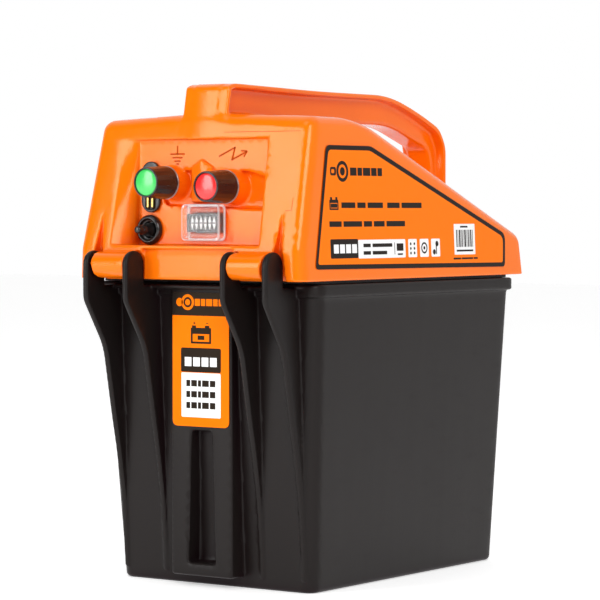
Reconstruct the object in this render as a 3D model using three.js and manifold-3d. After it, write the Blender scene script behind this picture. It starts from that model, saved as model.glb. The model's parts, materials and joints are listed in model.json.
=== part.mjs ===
// Portable fence energizer: a battery box with a hinged energizer head on top.
// Millimetres. +X to the right, +Y to the rear, +Z up, origin under the middle of the overall box.
import * as THREE from 'three';
import { mergeVertices } from 'three/addons/utils/BufferGeometryUtils.js';
import Module from 'manifold-3d';

const wasm = await Module();
wasm.setup();

// ---------------------------------------------------------------- driving dimensions
const GAP = 0.3;

const BOX_TOP = 180;
const BOX_WALL = 2.5;
const BOX_CORNER = 8;
const BOX_FOOTPRINT = { halfWidth: 74, front: -99.5, rear: 111.5 };
const BOX_MOUTH = { halfWidth: 84.2, front: -109, rear: 116 };
const RIM_TOP = 188;
const RIM_STEP = 2.5;

const FIN_THICKNESS = 4;
const FIN_OFFSETS = [37.3, 68.6];
const HINGE = { y: -133, z: 198.75, earRadius: 9, barrelRadius: 8, pinRadius: 2.5 };

const SPINE_HALF = 23.4;
const SPINE_FRONT = -113;
const SPINE_BOTTOM = 7;
const SPINE_TOP = 186;
const SLOT = { bottom: 15, top: 97, bottomHalf: 10.4, topHalf: 7.9, depth: 12 };

const HEAD_BOTTOM = 190;
const HEAD_TOP = 289;
const HEAD_HALF = 86.3;
const HEAD_FRONT = -128;
const HEAD_REAR = 129.5;
const HEAD_CORNER = 7;
const HEAD_WALL = 3;
const SIDE_DRAFT = 0.044;
const LEAN_START = 209;
const FASCIA_LEAN = 0.24;
const FASCIA_BOW = 0.03;
const APRON = { halfWidth: 35, front: -124.5, rear: -119.5, top: 209 };
const TOP_FLAT_END = -58;
const SLOPE_END = { y: 125.5, z: 217 };
const CROWN = 3.7;

const PANEL = { halfWidth: 50.5, bottom: 211, top: 276.3, y: -110, leftFlare: 0.55, rightFlare: 0.24 };
const POCKET = { left: -32.5, right: 50.5, bottom: 232.5, top: 259, depth: 2.8 };
const PANEL_INNER_Y = -104;

const HANDLE_HALF = 17;
const HANDLE_WEB_HALF = 9.5;
const FLANGE = 3;
const HANDLE_TOP = 310.6;
const HANDLE_REAR = 142;

const TERMINAL_X = 23;
const EARTH_Z = 249.6;
const FENCE_Z = 246.9;
const KNOB = { front: -138.7, base: -119.4, faceRadius: 9.3, baseRadius: 10.25, boreDepth: 15 };
const STUD_RADIUS = 3;
const WASHER = { thickness: 1, radius: 10.6 };

const SOCKET = { x: -40.2, z: 247.1, width: 14.3, height: 31.7, thickness: 1.9 };
const SOCKET_PIN_OFFSET = 1.8;
const SWITCH = { x: -41.3, z: 220.5, radius: 9, leverLength: 15 };
const WINDOW = { x: 2.8, z: 225.1, width: 29.4, height: 22.8, depth: 7.6, wall: 1.5 };
const DISPLAY = { x: 2.8, z: 224.8, width: 23, height: 11 };

const PLATE_THICKNESS = 3;
const GASKET = { bottom: RIM_TOP + GAP, height: 2.6, halfWidth: 83, front: -108, rear: 115.5, width: 3.5 };
const PLATE_BOTTOM = GASKET.bottom + GASKET.height + GAP;
const PLATE_TOP = PLATE_BOTTOM + PLATE_THICKNESS;
const BOSS_RADIUS = 5;
const BOSS_PLACES = [-88, 12, 104].flatMap((y) => [[-72, y], [72, y]]);

const BOARD = { halfWidth: 60, front: -74, rear: 96, bottom: PLATE_TOP + 5.3, thickness: 1.6 };
const BOARD_TOP = BOARD.bottom + BOARD.thickness;
const POST_PLACES = [[-55, -69], [55, -69], [-55, 91], [55, 91]];

const BATTERY = { halfWidth: 62.5, length: 190, height: 155, y: 6, bottom: 3 + GAP };
const LATCH = { y: 133, z: 204, pinRadius: 2, cheekInner: 10, cheekOuter: 13, bottom: 168 };

const CURVE_STEPS = 5;
const ROUND_STEPS = 24;

// ---------------------------------------------------------------- materials
function plastic(color, roughness = 0.45) {
  return new THREE.MeshStandardMaterial({ color, roughness, metalness: 0 });
}

function metal(color, roughness = 0.3) {
  return new THREE.MeshStandardMaterial({ color, roughness, metalness: 1 });
}

const ORANGE = plastic(0xff6d00, 0.3);
const BLACK = plastic(0x2a292b, 0.45);
const SATIN_BLACK = plastic(0x18171a, 0.3);
const GREEN = plastic(0x2fb95a, 0.2);
const RED = plastic(0xe0202c, 0.2);
const CLEAR = new THREE.MeshStandardMaterial({
  color: 0xffffff, roughness: 0.05, metalness: 0, transparent: true, opacity: 0.35,
});
const RUBBER = plastic(0x1b1b1b, 0.8);
const BOARD_GREEN = plastic(0x1d5c33, 0.5);
const LABEL = plastic(0xff7a10, 0.35);
const BATTERY_GREY = plastic(0x4b5056, 0.5);
const BRASS = metal(0xd9b25a);
const STEEL = metal(0xb9bcc2);
const COPPER = metal(0xb5652c);
const FERRITE = plastic(0x3a3a3e, 0.6);
const ALUMINIUM = metal(0xc9ccd0, 0.4);

// ---------------------------------------------------------------- solids
function toSolid(geometry) {
  const bare = geometry.clone();
  bare.deleteAttribute('normal');
  bare.deleteAttribute('uv');
  const merged = mergeVertices(bare, 1e-4);
  return new wasm.Manifold(new wasm.Mesh({
    numProp: 3,
    vertProperties: new Float32Array(merged.attributes.position.array),
    triVerts: new Uint32Array(merged.index.array),
  }));
}

function toGeometry(solid) {
  const mesh = solid.getMesh();
  const geometry = new THREE.BufferGeometry();
  geometry.setAttribute('position', new THREE.BufferAttribute(mesh.vertProperties, 3));
  geometry.setIndex(new THREE.BufferAttribute(mesh.triVerts, 1));
  geometry.computeVertexNormals();
  return geometry;
}

function joined(solids) {
  return solids.reduce((whole, piece) => whole.add(piece));
}

function cutFrom(solid, tools) {
  return tools.reduce((whole, tool) => whole.subtract(tool), solid);
}

// A closed outline through [x, y, radius] corners; a radius rounds its corner.
function outline(corners) {
  const shape = new THREE.Shape();
  const count = corners.length;
  corners.forEach(([x, y, radius = 0], index) => {
    const corner = new THREE.Vector2(x, y);
    const before = new THREE.Vector2(...corners[(index + count - 1) % count]);
    const after = new THREE.Vector2(...corners[(index + 1) % count]);
    const start = corner.clone().add(before.sub(corner).setLength(radius));
    const end = corner.clone().add(after.sub(corner).setLength(radius));
    if (index === 0) shape.moveTo(start.x, start.y);
    else shape.lineTo(start.x, start.y);
    if (radius > 0) shape.quadraticCurveTo(x, y, end.x, end.y);
  });
  shape.closePath();
  return shape;
}

function rectangle(x0, y0, x1, y1, radius = 0) {
  return outline([[x0, y0, radius], [x1, y0, radius], [x1, y1, radius], [x0, y1, radius]]);
}

function circle(x, y, radius) {
  const shape = new THREE.Shape();
  shape.absarc(x, y, radius, 0, Math.PI * 2);
  return shape;
}

function extruded(shape, depth, steps = 1, curveSegments = CURVE_STEPS) {
  return new THREE.ExtrudeGeometry(shape, { depth, steps, curveSegments, bevelEnabled: false });
}

// Prism of an (x, y) outline from z0 to z1.
function prismZ(shape, z0, z1, steps = 1, curveSegments = CURVE_STEPS) {
  return extruded(shape, z1 - z0, steps, curveSegments).translate(0, 0, z0);
}

// Prism of an (x, z) outline from y0 to y1.
function prismY(shape, y0, y1, curveSegments = CURVE_STEPS) {
  return extruded(shape, y1 - y0, 1, curveSegments).rotateX(Math.PI / 2).translate(0, y1, 0);
}

// Prism of a (y, z) outline from x0 to x1.
function prismX(shape, x0, x1, curveSegments = CURVE_STEPS) {
  const turn = new THREE.Matrix4().set(0, 0, 1, x0, 1, 0, 0, 0, 0, 1, 0, 0, 0, 0, 0, 1);
  return extruded(shape, x1 - x0, 1, curveSegments).applyMatrix4(turn);
}

function block(x0, y0, z0, x1, y1, z1) {
  return new THREE.BoxGeometry(x1 - x0, y1 - y0, z1 - z0)
    .translate((x0 + x1) / 2, (y0 + y1) / 2, (z0 + z1) / 2);
}

function rodX(radius, x0, x1, y, z, segments = ROUND_STEPS) {
  return new THREE.CylinderGeometry(radius, radius, x1 - x0, segments)
    .rotateZ(Math.PI / 2).translate((x0 + x1) / 2, y, z);
}

function rodY(radius, y0, y1, x, z, segments = ROUND_STEPS) {
  return new THREE.CylinderGeometry(radius, radius, y1 - y0, segments).translate(x, (y0 + y1) / 2, z);
}

function rodZ(radius, z0, z1, x, y, segments = ROUND_STEPS) {
  return new THREE.CylinderGeometry(radius, radius, z1 - z0, segments)
    .rotateX(Math.PI / 2).translate(x, y, (z0 + z1) / 2);
}

// Turned part about +Z through a closed profile of [radius, height] points.
function turned(points, segments = ROUND_STEPS) {
  const profile = points.map(([radius, height]) => new THREE.Vector2(radius, height));
  return new THREE.LatheGeometry(profile, segments).rotateX(Math.PI / 2);
}

// Moves every vertex of a geometry by a function of its position.
function reshaped(geometry, move) {
  const position = geometry.attributes.position;
  const point = new THREE.Vector3();
  for (let index = 0; index < position.count; index += 1) {
    move(point.fromBufferAttribute(position, index));
    position.setXYZ(index, point.x, point.y, point.z);
  }
  return geometry;
}

// ---------------------------------------------------------------- battery box
// The moulded tub between two heights, with its walls set in by inset.
function tubForm(z0, z1, inset) {
  const low = BOX_FOOTPRINT;
  const radius = BOX_CORNER - inset;
  const half = low.halfWidth - inset;
  const plan = rectangle(-half, low.front + inset, half, low.rear - inset, radius);
  return toSolid(reshaped(prismZ(plan, z0, z1), (point) => {
    const rise = point.z / BOX_TOP;
    point.x += Math.sign(point.x) * (BOX_MOUTH.halfWidth - low.halfWidth) * rise;
    point.y += (point.y > 0 ? BOX_MOUTH.rear - low.rear : BOX_MOUTH.front - low.front) * rise;
  }));
}

function rimForm() {
  const grow = RIM_STEP;
  const mouth = BOX_MOUTH;
  const plan = rectangle(
    -mouth.halfWidth - grow, mouth.front - grow, mouth.halfWidth + grow, mouth.rear + grow, BOX_CORNER,
  );
  return toSolid(prismZ(plan, BOX_TOP, RIM_TOP));
}

function finForm(x) {
  const half = FIN_THICKNESS / 2;
  const earFront = HINGE.y - HINGE.earRadius;
  const earRear = HINGE.y + HINGE.earRadius;
  const side = outline([
    [-97, 7], [-100.6, 7], [-102, 25], [-104.6, 54, 8], [-109.5, 83, 8], [-114.3, 105, 8],
    [-122.5, 147.5, 10], [earFront, 177.5, 8], [earFront, HINGE.z], [earRear, HINGE.z],
    [earRear, 186], [-107, 186], [-107, 150], [-100, 60],
  ]);
  const plate = toSolid(prismX(side, x - half, x + half));
  const ear = toSolid(rodX(HINGE.earRadius, x - half, x + half, HINGE.y, HINGE.z));
  return plate.add(ear);
}

function slotForm(grow) {
  const { bottom, top, bottomHalf, topHalf } = SLOT;
  const sides = outline([
    [-bottomHalf - grow, bottom - grow], [bottomHalf + grow, bottom - grow],
    [topHalf + grow, top + grow, 4], [-topHalf - grow, top + grow, 4],
  ]);
  return toSolid(prismY(sides, SPINE_FRONT - 5, SPINE_FRONT + SLOT.depth + grow));
}

// Ends of a hinge pin, which stops inside both arms.
function pinEnds(grow) {
  const cover = FIN_THICKNESS / 2 - 1;
  return [FIN_OFFSETS[0] - cover + GAP - grow, FIN_OFFSETS[1] + cover - GAP + grow];
}

function batteryBox() {
  const fins = FIN_OFFSETS.flatMap((x) => [finForm(-x), finForm(x)]);
  const spine = toSolid(block(-SPINE_HALF, SPINE_FRONT, SPINE_BOTTOM, SPINE_HALF, -96, SPINE_TOP));
  const shelf = toSolid(block(-66, -118, 184, 66, -104, 187));
  const catchBar = toSolid(block(-12, 112, 176, 12, 123.2, 182));
  const body = joined([tubForm(0, BOX_TOP, 0), rimForm(), spine, shelf, catchBar, ...fins]);
  const room = tubForm(BOX_WALL + 0.5, RIM_TOP + 6, BOX_WALL);
  const half = SPINE_HALF - BOX_WALL;
  const [low, high] = [SPINE_BOTTOM + BOX_WALL, SPINE_TOP - BOX_WALL];
  const hollow = block(-half, SPINE_FRONT + BOX_WALL, low, half, -94, high);
  const spineRoom = toSolid(hollow).subtract(slotForm(BOX_WALL));
  const [inner, outer] = pinEnds(GAP);
  const pinHoles = [-1, 1].map((side) => toSolid(rodX(
    HINGE.pinRadius + GAP, Math.min(side * inner, side * outer), Math.max(side * inner, side * outer),
    HINGE.y, HINGE.z,
  )));
  return toGeometry(cutFrom(body, [room, spineRoom, slotForm(0), ...pinHoles]));
}

function hingePin(side) {
  const [inner, outer] = pinEnds(0);
  const [x0, x1] = side > 0 ? [inner, outer] : [-outer, -inner];
  return rodX(HINGE.pinRadius, x0, x1, HINGE.y, HINGE.z, 20);
}

function frontLabel() {
  const face = outline([[-21.7, 99.5, 4], [21.7, 99.5, 4], [21.7, 182, 1], [-21.7, 182, 1]]);
  return prismY(face, SPINE_FRONT - 0.5, SPINE_FRONT - 0.15);
}

// ---------------------------------------------------------------- battery
function batteryCase() {
  const { halfWidth, length, height, y, bottom } = BATTERY;
  const plan = rectangle(-halfWidth, y - length / 2, halfWidth, y + length / 2, 5);
  return prismZ(plan, bottom, bottom + height);
}

function batteryCover() {
  const { halfWidth, length, height, y, bottom } = BATTERY;
  const plan = rectangle(-halfWidth - 0.8, y - length / 2 - 0.8, halfWidth + 0.8, y + length / 2 + 0.8, 5.8);
  return prismZ(plan, bottom + height + GAP, bottom + height + 4);
}

function batteryPost() {
  const base = BATTERY.bottom + BATTERY.height + 4 + GAP;
  return turned([[0, base], [7, base], [7, base + 2], [4, base + 2], [3.4, base + 12], [0, base + 12]], 16);
}

// ---------------------------------------------------------------- energizer housing
// The head's outer form with every face set in by inset; its underside is open below floor.
function headForm(inset, floor) {
  const half = HEAD_HALF - inset;
  const front = HEAD_FRONT + inset;
  const radius = Math.max(HEAD_CORNER - inset, 2);
  const plan = outline([
    [-half, front, radius], [0, front], [half, front, radius],
    [half, HEAD_REAR - inset, radius], [-half, HEAD_REAR - inset, radius],
  ]);
  const step = LEAN_START - HEAD_BOTTOM;
  const drafted = reshaped(prismZ(plan, HEAD_BOTTOM - step, HEAD_BOTTOM + 6 * step, 7), (point) => {
    const rise = Math.max(point.z - LEAN_START, 0);
    const nearFront = point.y < 0 ? 1 : 0;
    const centred = 1 - Math.abs(point.x) / half;
    point.y += nearFront * rise * (FASCIA_LEAN - FASCIA_BOW * centred);
    point.x -= Math.sign(point.x) * SIDE_DRAFT * (point.z - HEAD_BOTTOM);
  });
  const side = outline([
    [-150, floor], [-150, HEAD_TOP + CROWN - inset], [TOP_FLAT_END, HEAD_TOP + CROWN - inset, 18],
    [SLOPE_END.y - inset, SLOPE_END.z + CROWN - inset, 7], [HEAD_REAR - inset, floor],
  ]);
  const shoulder = HEAD_HALF - SIDE_DRAFT * (HEAD_TOP - HEAD_BOTTOM);
  const leftRoof = toSolid(reshaped(prismX(side, -HEAD_HALF - 5, 0), (point) => {
    if (point.z > LEAN_START - 5) point.z += (CROWN * point.x) / shoulder;
  }));
  const rightRoof = toSolid(reshaped(prismX(side, 0, HEAD_HALF + 5), (point) => {
    if (point.z > LEAN_START - 5) point.z -= (CROWN * point.x) / shoulder;
  }));
  return toSolid(drafted).intersect(leftRoof.add(rightRoof));
}

// Handle outline in (y, z), set in by inset, from the fascia over the grip to the rear spine.
function handleOutline(inset) {
  const front = -107.3 + inset;
  const top = HANDLE_TOP - inset;
  return outline([
    [-122 + inset, 240], [-112.6 + inset, 279.5], [front, top - 3, 1.5], [front + 5, top, 3],
    [-8, top - 2], [72, top - 2, 16], [109, 298 - inset, 14],
    [HANDLE_REAR - inset - 8, 288 - inset, 6], [HANDLE_REAR - inset, 276, 6], [HANDLE_REAR - inset, 194],
    [100, 194], [60, 225], [-60, 270],
  ]);
}

function handleForm() {
  const handHole = outline([
    [-46, 289, 10], [84, 289, 14], [130, 274.5, 6], [134.5, 262, 6], [134.5, 214], [60, 232], [-62, 280],
  ]);
  const web = toSolid(prismX(handleOutline(0), -HANDLE_WEB_HALF, HANDLE_WEB_HALF))
    .subtract(toSolid(prismX(handHole, -20, 20)));
  const solidFlange = toSolid(prismX(handleOutline(0), -HANDLE_HALF, HANDLE_HALF));
  const innerWall = toSolid(prismX(handleOutline(FLANGE), -20, 20));
  const latchRoom = toSolid(block(-30, 100, 180, 30, 160, 219));
  const insideHead = toSolid(block(-30, -104, 180, 30, 122, 284));
  const flange = cutFrom(solidFlange, [innerWall, latchRoom, insideHead]);
  return web.add(flange);
}

function barrelForm(side) {
  const inner = FIN_OFFSETS[0] + FIN_THICKNESS / 2 + GAP;
  const outer = FIN_OFFSETS[1] - FIN_THICKNESS / 2 - GAP;
  const [x0, x1] = side > 0 ? [inner, outer] : [-outer, -inner];
  const barrel = toSolid(rodX(HINGE.barrelRadius, x0, x1, HINGE.y, HINGE.z));
  const web = toSolid(block(x0, HINGE.y, HINGE.z - 6, x1, HEAD_FRONT + 2, HINGE.z + HINGE.barrelRadius));
  return barrel.add(web);
}

function earRoom(x) {
  const half = FIN_THICKNESS / 2 + GAP;
  const reach = HINGE.earRadius + 1;
  const around = toSolid(rodX(reach, x - half, x + half, HINGE.y, HINGE.z));
  const below = toSolid(block(x - half, HINGE.y - reach, 180, x + half, HINGE.y + reach, HINGE.z));
  return around.add(below);
}

function panelRecess() {
  const face = rectangle(-PANEL.halfWidth, PANEL.bottom, PANEL.halfWidth, PANEL.top, 2);
  const deep = 30;
  return toSolid(reshaped(prismY(face, PANEL.y - deep, PANEL.y), (point) => {
    const flare = point.x > 0 ? PANEL.rightFlare : -PANEL.leftFlare;
    point.x += flare * (PANEL.y - point.y);
  }));
}

function knobPocket() {
  const low = toSolid(prismY(outline([
    [POCKET.left, POCKET.bottom + 3, 4], [POCKET.right, POCKET.bottom, 1],
    [POCKET.right, POCKET.top - 7], [POCKET.right - 17, POCKET.top - 2.5, 4],
    [POCKET.left, POCKET.top - 2, 4],
  ]), PANEL.y - 1, PANEL.y + POCKET.depth));
  const divider = toSolid(prismY(outline([
    [-9, POCKET.bottom - 2], [9, POCKET.bottom - 2], [9, 259], [0, 263.4], [-9, 259],
  ]), PANEL.y - 1.5, PANEL.y + POCKET.depth + 1));
  return low.subtract(divider);
}

function dividerRib() {
  return toSolid(prismY(outline([
    [-8, 237.5], [8, 237.5], [8, 258.6], [0, 263.4], [-8, 258.6],
  ]), PANEL.y - 2.5, PANEL.y + 1));
}

function terminalCollar(x, z) {
  const front = KNOB.base + GAP + WASHER.thickness + GAP;
  return toSolid(rodY(8.5, front, PANEL_INNER_Y - 1, x, z));
}

function energizerHousing() {
  const form = joined([headForm(0, HEAD_BOTTOM), handleForm(), barrelForm(-1), barrelForm(1)]);
  const cavity = headForm(HEAD_WALL, HEAD_BOTTOM - 5);
  const panelBacking = toSolid(block(-64, -140, PANEL.bottom - 4, 64, PANEL_INNER_Y, PANEL.top + 6));
  const bosses = BOSS_PLACES.map(([x, y]) => toSolid(rodZ(BOSS_RADIUS, PLATE_TOP + GAP, 310, x, y, 16)));
  const apronBacking = toSolid(block(-75, -140, 180, 75, APRON.rear, PANEL.bottom));
  const room = cutFrom(cavity, [panelBacking, apronBacking, ...bosses]);
  const earRooms = FIN_OFFSETS.flatMap((x) => [earRoom(-x), earRoom(x)]);
  const apronStep = toSolid(block(-APRON.halfWidth, -145, 180, APRON.halfWidth, APRON.front, APRON.top));
  const pinBores = [-1, 1].map((side) => toSolid(
    rodX(HINGE.pinRadius + GAP, side * 53 - 22, side * 53 + 22, HINGE.y, HINGE.z, 20),
  ));
  const shell = cutFrom(form, [room, apronStep, ...earRooms, ...pinBores, panelRecess(), knobPocket()]);
  const terminals = [[-TERMINAL_X, EARTH_Z], [TERMINAL_X, FENCE_Z]];
  const collars = terminals.map(([x, z]) => terminalCollar(x, z));
  const studBores = terminals.map(([x, z]) => toSolid(rodY(STUD_RADIUS + GAP, -125, -95, x, z, 20)));
  const switchBore = toSolid(rodY(6, -125, -95, SWITCH.x, SWITCH.z, 24));
  const socketWindow = toSolid(prismY(rectangle(
    SOCKET.x - 4.5, SOCKET.z - 14, SOCKET.x + 4.5, SOCKET.z - 5,
  ), -125, -95));
  const displayWindow = toSolid(prismY(rectangle(
    DISPLAY.x - DISPLAY.width / 2 - GAP, DISPLAY.z - DISPLAY.height / 2 - GAP,
    DISPLAY.x + DISPLAY.width / 2 + GAP, DISPLAY.z + DISPLAY.height / 2 + GAP,
  ), -125, -95));
  const pilotHoles = BOSS_PLACES.map(([x, y]) => toSolid(
    rodZ(1.9, PLATE_TOP - 2, PLATE_TOP + 11, x, y, 12),
  ));
  const latchBore = toSolid(rodX(LATCH.pinRadius + GAP, -30, 30, LATCH.y, LATCH.z, 20));
  const holes = [...studBores, switchBore, socketWindow, displayWindow, ...pilotHoles, latchBore];
  return toGeometry(cutFrom(joined([shell, dividerRib(), ...collars]), holes));
}

function sideLabel(side) {
  const face = outline([
    [-96.9, 271.9, 4], [-49.6, 271.9, 4], [105.7, 215.7, 4], [103.1, 195.8, 4], [-112, 197.9, 4],
  ]);
  const inner = 0.15;
  const label = prismX(face, inner, inner + 0.35);
  if (side < 0) label.translate(-2 * inner - 0.35, 0, 0);
  return reshaped(label, (point) => {
    point.x += side * (HEAD_HALF - SIDE_DRAFT * (point.z - HEAD_BOTTOM));
  });
}

// ---------------------------------------------------------------- head underside
function basePlate() {
  const plate = toSolid(prismZ(rectangle(-82.9, -108.3, 82.9, 121, 6), PLATE_BOTTOM, PLATE_TOP));
  const posts = POST_PLACES.map(([x, y]) => toSolid(rodZ(4, PLATE_TOP - 1, BOARD.bottom - GAP, x, y, 16)));
  const postHoles = POST_PLACES.map(([x, y]) => toSolid(
    rodZ(1.7, PLATE_TOP - 1.5, BOARD.bottom + 5, x, y, 12),
  ));
  const screwHoles = BOSS_PLACES.map(([x, y]) => toSolid(
    rodZ(2, PLATE_BOTTOM - 2, PLATE_TOP + 2, x, y, 12),
  ));
  const glandHoles = [-20, 20].map((x) => toSolid(rodZ(4.3, PLATE_BOTTOM - 2, PLATE_TOP + 2, x, 70, 20)));
  return toGeometry(cutFrom(joined([plate, ...posts]), [...postHoles, ...screwHoles, ...glandHoles]));
}

function housingGasket() {
  const { bottom, height, halfWidth, front, rear, width } = GASKET;
  const ring = rectangle(-halfWidth, front, halfWidth, rear, 7);
  ring.holes.push(rectangle(width - halfWidth, front + width, halfWidth - width, rear - width, 4));
  return prismZ(ring, bottom, bottom + height);
}

function baseScrew() {
  const under = PLATE_BOTTOM - GAP;
  return turned([
    [0, under - 2.2], [2.6, under - 2.2], [3.6, under - 1.4], [3.6, under], [1.6, under],
    [1.6, under + 12], [0, under + 12.8],
  ], 10);
}

function leadGland() {
  const under = PLATE_BOTTOM - GAP;
  return turned([
    [2, under - 3], [5, under - 3], [6.5, under - 1], [6.5, under], [4, under], [4, PLATE_TOP + 2],
    [2, PLATE_TOP + 2], [2, under - 3],
  ], 16);
}

// ---------------------------------------------------------------- electronics
function circuitBoard() {
  const plan = rectangle(-BOARD.halfWidth, BOARD.front, BOARD.halfWidth, BOARD.rear, 3);
  const plate = toSolid(prismZ(plan, BOARD.bottom, BOARD_TOP));
  const holes = POST_PLACES.map(([x, y]) => toSolid(rodZ(1.7, BOARD.bottom - 1, BOARD_TOP + 1, x, y, 12)));
  return toGeometry(cutFrom(plate, holes));
}

function boardScrew() {
  const seat = BOARD_TOP + GAP;
  return turned([
    [0, seat - 5.5], [1.35, seat - 5], [1.35, seat], [2.8, seat],
    [2.8, seat + 1.4], [2, seat + 2], [0, seat + 2],
  ], 10);
}

function transformerCore() {
  const [y0, y1] = [-22, 22];
  const base = BOARD_TOP + GAP;
  const frame = toSolid(block(-26, y0 + 8, base, 26, y1 - 8, base + 44));
  const windows = [-1, 1].map((side) => toSolid(block(
    side * 13.5 - 5.5, y0, base + 8, side * 13.5 + 5.5, y1, base + 36,
  )));
  return toGeometry(cutFrom(frame, windows));
}

function transformerWinding() {
  const base = BOARD_TOP + GAP;
  const coil = toSolid(prismZ(rectangle(-18, -20, 18, 20, 6), base + 8.6, base + 35.4));
  const leg = toSolid(block(-8.4, -14.6, base, 8.4, 14.6, base + 44));
  return toGeometry(coil.subtract(leg));
}

function storageCapacitor() {
  const base = BOARD_TOP + GAP;
  return turned([
    [0, base], [15, base], [15, base + 3], [14.4, base + 4.2], [15, base + 5.4],
    [15, base + 41], [14, base + 42], [0, base + 42],
  ]);
}

function converterCoil() {
  const base = BOARD_TOP + GAP;
  return turned([
    [5, base], [12, base], [13, base + 1.5], [13, base + 9], [12, base + 10.5], [5, base + 10.5], [5, base],
  ]);
}

function heatSink() {
  const base = BOARD_TOP + GAP;
  const back = toSolid(block(-18, 0, base, 18, 2, base + 22));
  const finRow = [-16, -9.6, -3.2, 3.2, 9.6, 16].map((x) => toSolid(
    block(x - 0.7, 1, base, x + 0.7, 11, base + 22),
  ));
  return toGeometry(joined([back, ...finRow]));
}

function controlChip() {
  const base = BOARD_TOP + GAP;
  return block(-8, -8, base, 8, 8, base + 2.2);
}

function terminalBlock() {
  const base = BOARD_TOP + GAP;
  const body = toSolid(block(-12, -5, base, 12, 5, base + 11));
  const entries = [-7, 0, 7].map((x) => toSolid(block(x - 2, -7, base + 2, x + 2, 3, base + 6)));
  return toGeometry(cutFrom(body, entries));
}

// ---------------------------------------------------------------- front panel parts
function terminalStud(x, z) {
  return rodY(STUD_RADIUS, -132.9, -94, x, z, 20);
}

function studNut(x, z) {
  const outer = toSolid(rodY(5.6, PANEL_INNER_Y + GAP, PANEL_INNER_Y + 5, x, z, 6));
  return toGeometry(outer.subtract(toSolid(rodY(STUD_RADIUS + GAP, -110, -90, x, z, 20))));
}

function terminalWasher(x, z) {
  const y0 = KNOB.base + GAP;
  const ring = circle(x, z, WASHER.radius);
  ring.holes.push(circle(x, z, STUD_RADIUS + 0.5));
  return prismY(ring, y0, y0 + WASHER.thickness, 16);
}

function terminalKnob(x, z) {
  const length = KNOB.base - KNOB.front;
  const { faceRadius, baseRadius } = KNOB;
  const bore = STUD_RADIUS + GAP;
  const profile = [
    [bore, 0], [baseRadius - 0.6, 0], [baseRadius, 0.8], [baseRadius, 4], [faceRadius, length - 0.8],
    [faceRadius - 0.6, length], [8.4, length], [8.4, length - 2], [0, length - 2],
    [0, KNOB.boreDepth], [bore, KNOB.boreDepth], [bore, 0],
  ];
  return turned(profile).rotateX(Math.PI / 2).translate(x, KNOB.base, z);
}

function knobCap(x, z) {
  const profile = [[0, 0], [8.1, 0], [8.1, 1.8], [6.5, 2.6], [3.5, 3.2], [0, 3.4]];
  return turned(profile).rotateX(Math.PI / 2).translate(x, KNOB.front + 1.7, z);
}

function socketPlate() {
  const { x, z, width, height, thickness } = SOCKET;
  const plate = rectangle(x - width / 2, z - height / 2, x + width / 2, z + height / 2, width / 2 - 0.1);
  const face = toSolid(prismY(plate, PANEL.y - GAP - thickness, PANEL.y - GAP, 8));
  const carrier = toSolid(block(x - 4, PANEL.y - 1, z - 13.5, x + 4, -98, z - 5.5));
  const mouths = [-SOCKET_PIN_OFFSET, SOCKET_PIN_OFFSET].map((offset) => toSolid(
    block(x + offset - 1.1, -115, z - 13, x + offset + 1.1, -101, z - 6),
  ));
  return toGeometry(cutFrom(face.add(carrier), mouths));
}

function socketPin(offset) {
  const x = SOCKET.x + offset;
  return block(x - 0.8, -112.7, SOCKET.z - 12.7, x + 0.8, -101.3, SOCKET.z - 6.3);
}

function switchBezel() {
  const { x, z, radius } = SWITCH;
  const profile = [
    [5.2, -1.5], [5.6, -1.5], [5.6, 0.3], [radius, 0.3], [radius, 1.6], [radius - 1.2, 3.4],
    [6.4, 4], [5.2, 3.2], [5.2, -1.5],
  ];
  return turned(profile).rotateX(Math.PI / 2).translate(x, PANEL.y, z);
}

function switchBody() {
  const { x, z } = SWITCH;
  const body = toSolid(block(x - 6.5, PANEL_INNER_Y + GAP, z - 6, x + 6.5, -88, z + 6));
  const neck = toSolid(rodY(4.9, -109.5, PANEL_INNER_Y + 1, x, z, 24));
  const throat = toSolid(rodY(3.9, -112, -98, x, z, 24));
  return toGeometry(body.add(neck).subtract(throat));
}

function switchLever() {
  const { x, z, leverLength } = SWITCH;
  const front = leverLength - 3;
  const profile = [
    [0, -6], [1.3, -6], [1.3, 0.6], [3.4, 0.9], [3.3, 4], [2.5, front], [2.2, front + 1.4], [0, front + 2.2],
  ];
  return turned(profile, 20).rotateX(Math.PI / 2).translate(x, PANEL.y, z);
}

function windowLens() {
  const { x, z, width, height, depth, wall } = WINDOW;
  const front = PANEL.y - GAP - depth;
  const tub = (inset, y0, y1) => toSolid(prismY(rectangle(
    x - width / 2 + inset, z - height / 2 + inset, x + width / 2 - inset, z + height / 2 - inset, 4 - inset,
  ), y0, y1));
  return toGeometry(tub(0, front, PANEL.y - GAP).subtract(tub(wall, front + wall, PANEL.y + 1)));
}

function displayModule() {
  const { x, z, width, height } = DISPLAY;
  const front = PANEL.y - WINDOW.depth + WINDOW.wall + GAP;
  return block(x - width / 2, front, z - height / 2, x + width / 2, -99, z + height / 2);
}

// ---------------------------------------------------------------- rear latch
function rearLatch() {
  const { y, z, cheekInner, cheekOuter, bottom } = LATCH;
  const side = outline([
    [y - 4, z - 4, 3], [y - 4, z + 3.5, 3.5], [y + 5, z + 5, 4], [y + 6, z - 10, 4], [y + 3, bottom + 6, 3],
    [y + 9, bottom - 4, 1], [y + 6, bottom - 5, 1], [y - 3, bottom + 1], [123.5, bottom + 2], [123.5, 183],
    [y - 3, 185], [y - 3, z - 12],
  ]);
  const lever = toSolid(prismX(side, -cheekOuter, cheekOuter));
  const spineRoom = toSolid(block(-cheekInner, 115, 186, cheekInner, 150, 230));
  const hookRoom = toSolid(block(-20, 115, 185.5, 20, y - 3, 196));
  const pinBore = toSolid(rodX(LATCH.pinRadius + GAP, -20, 20, y, z, 20));
  return toGeometry(cutFrom(lever, [spineRoom, hookRoom, pinBore]));
}

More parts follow.
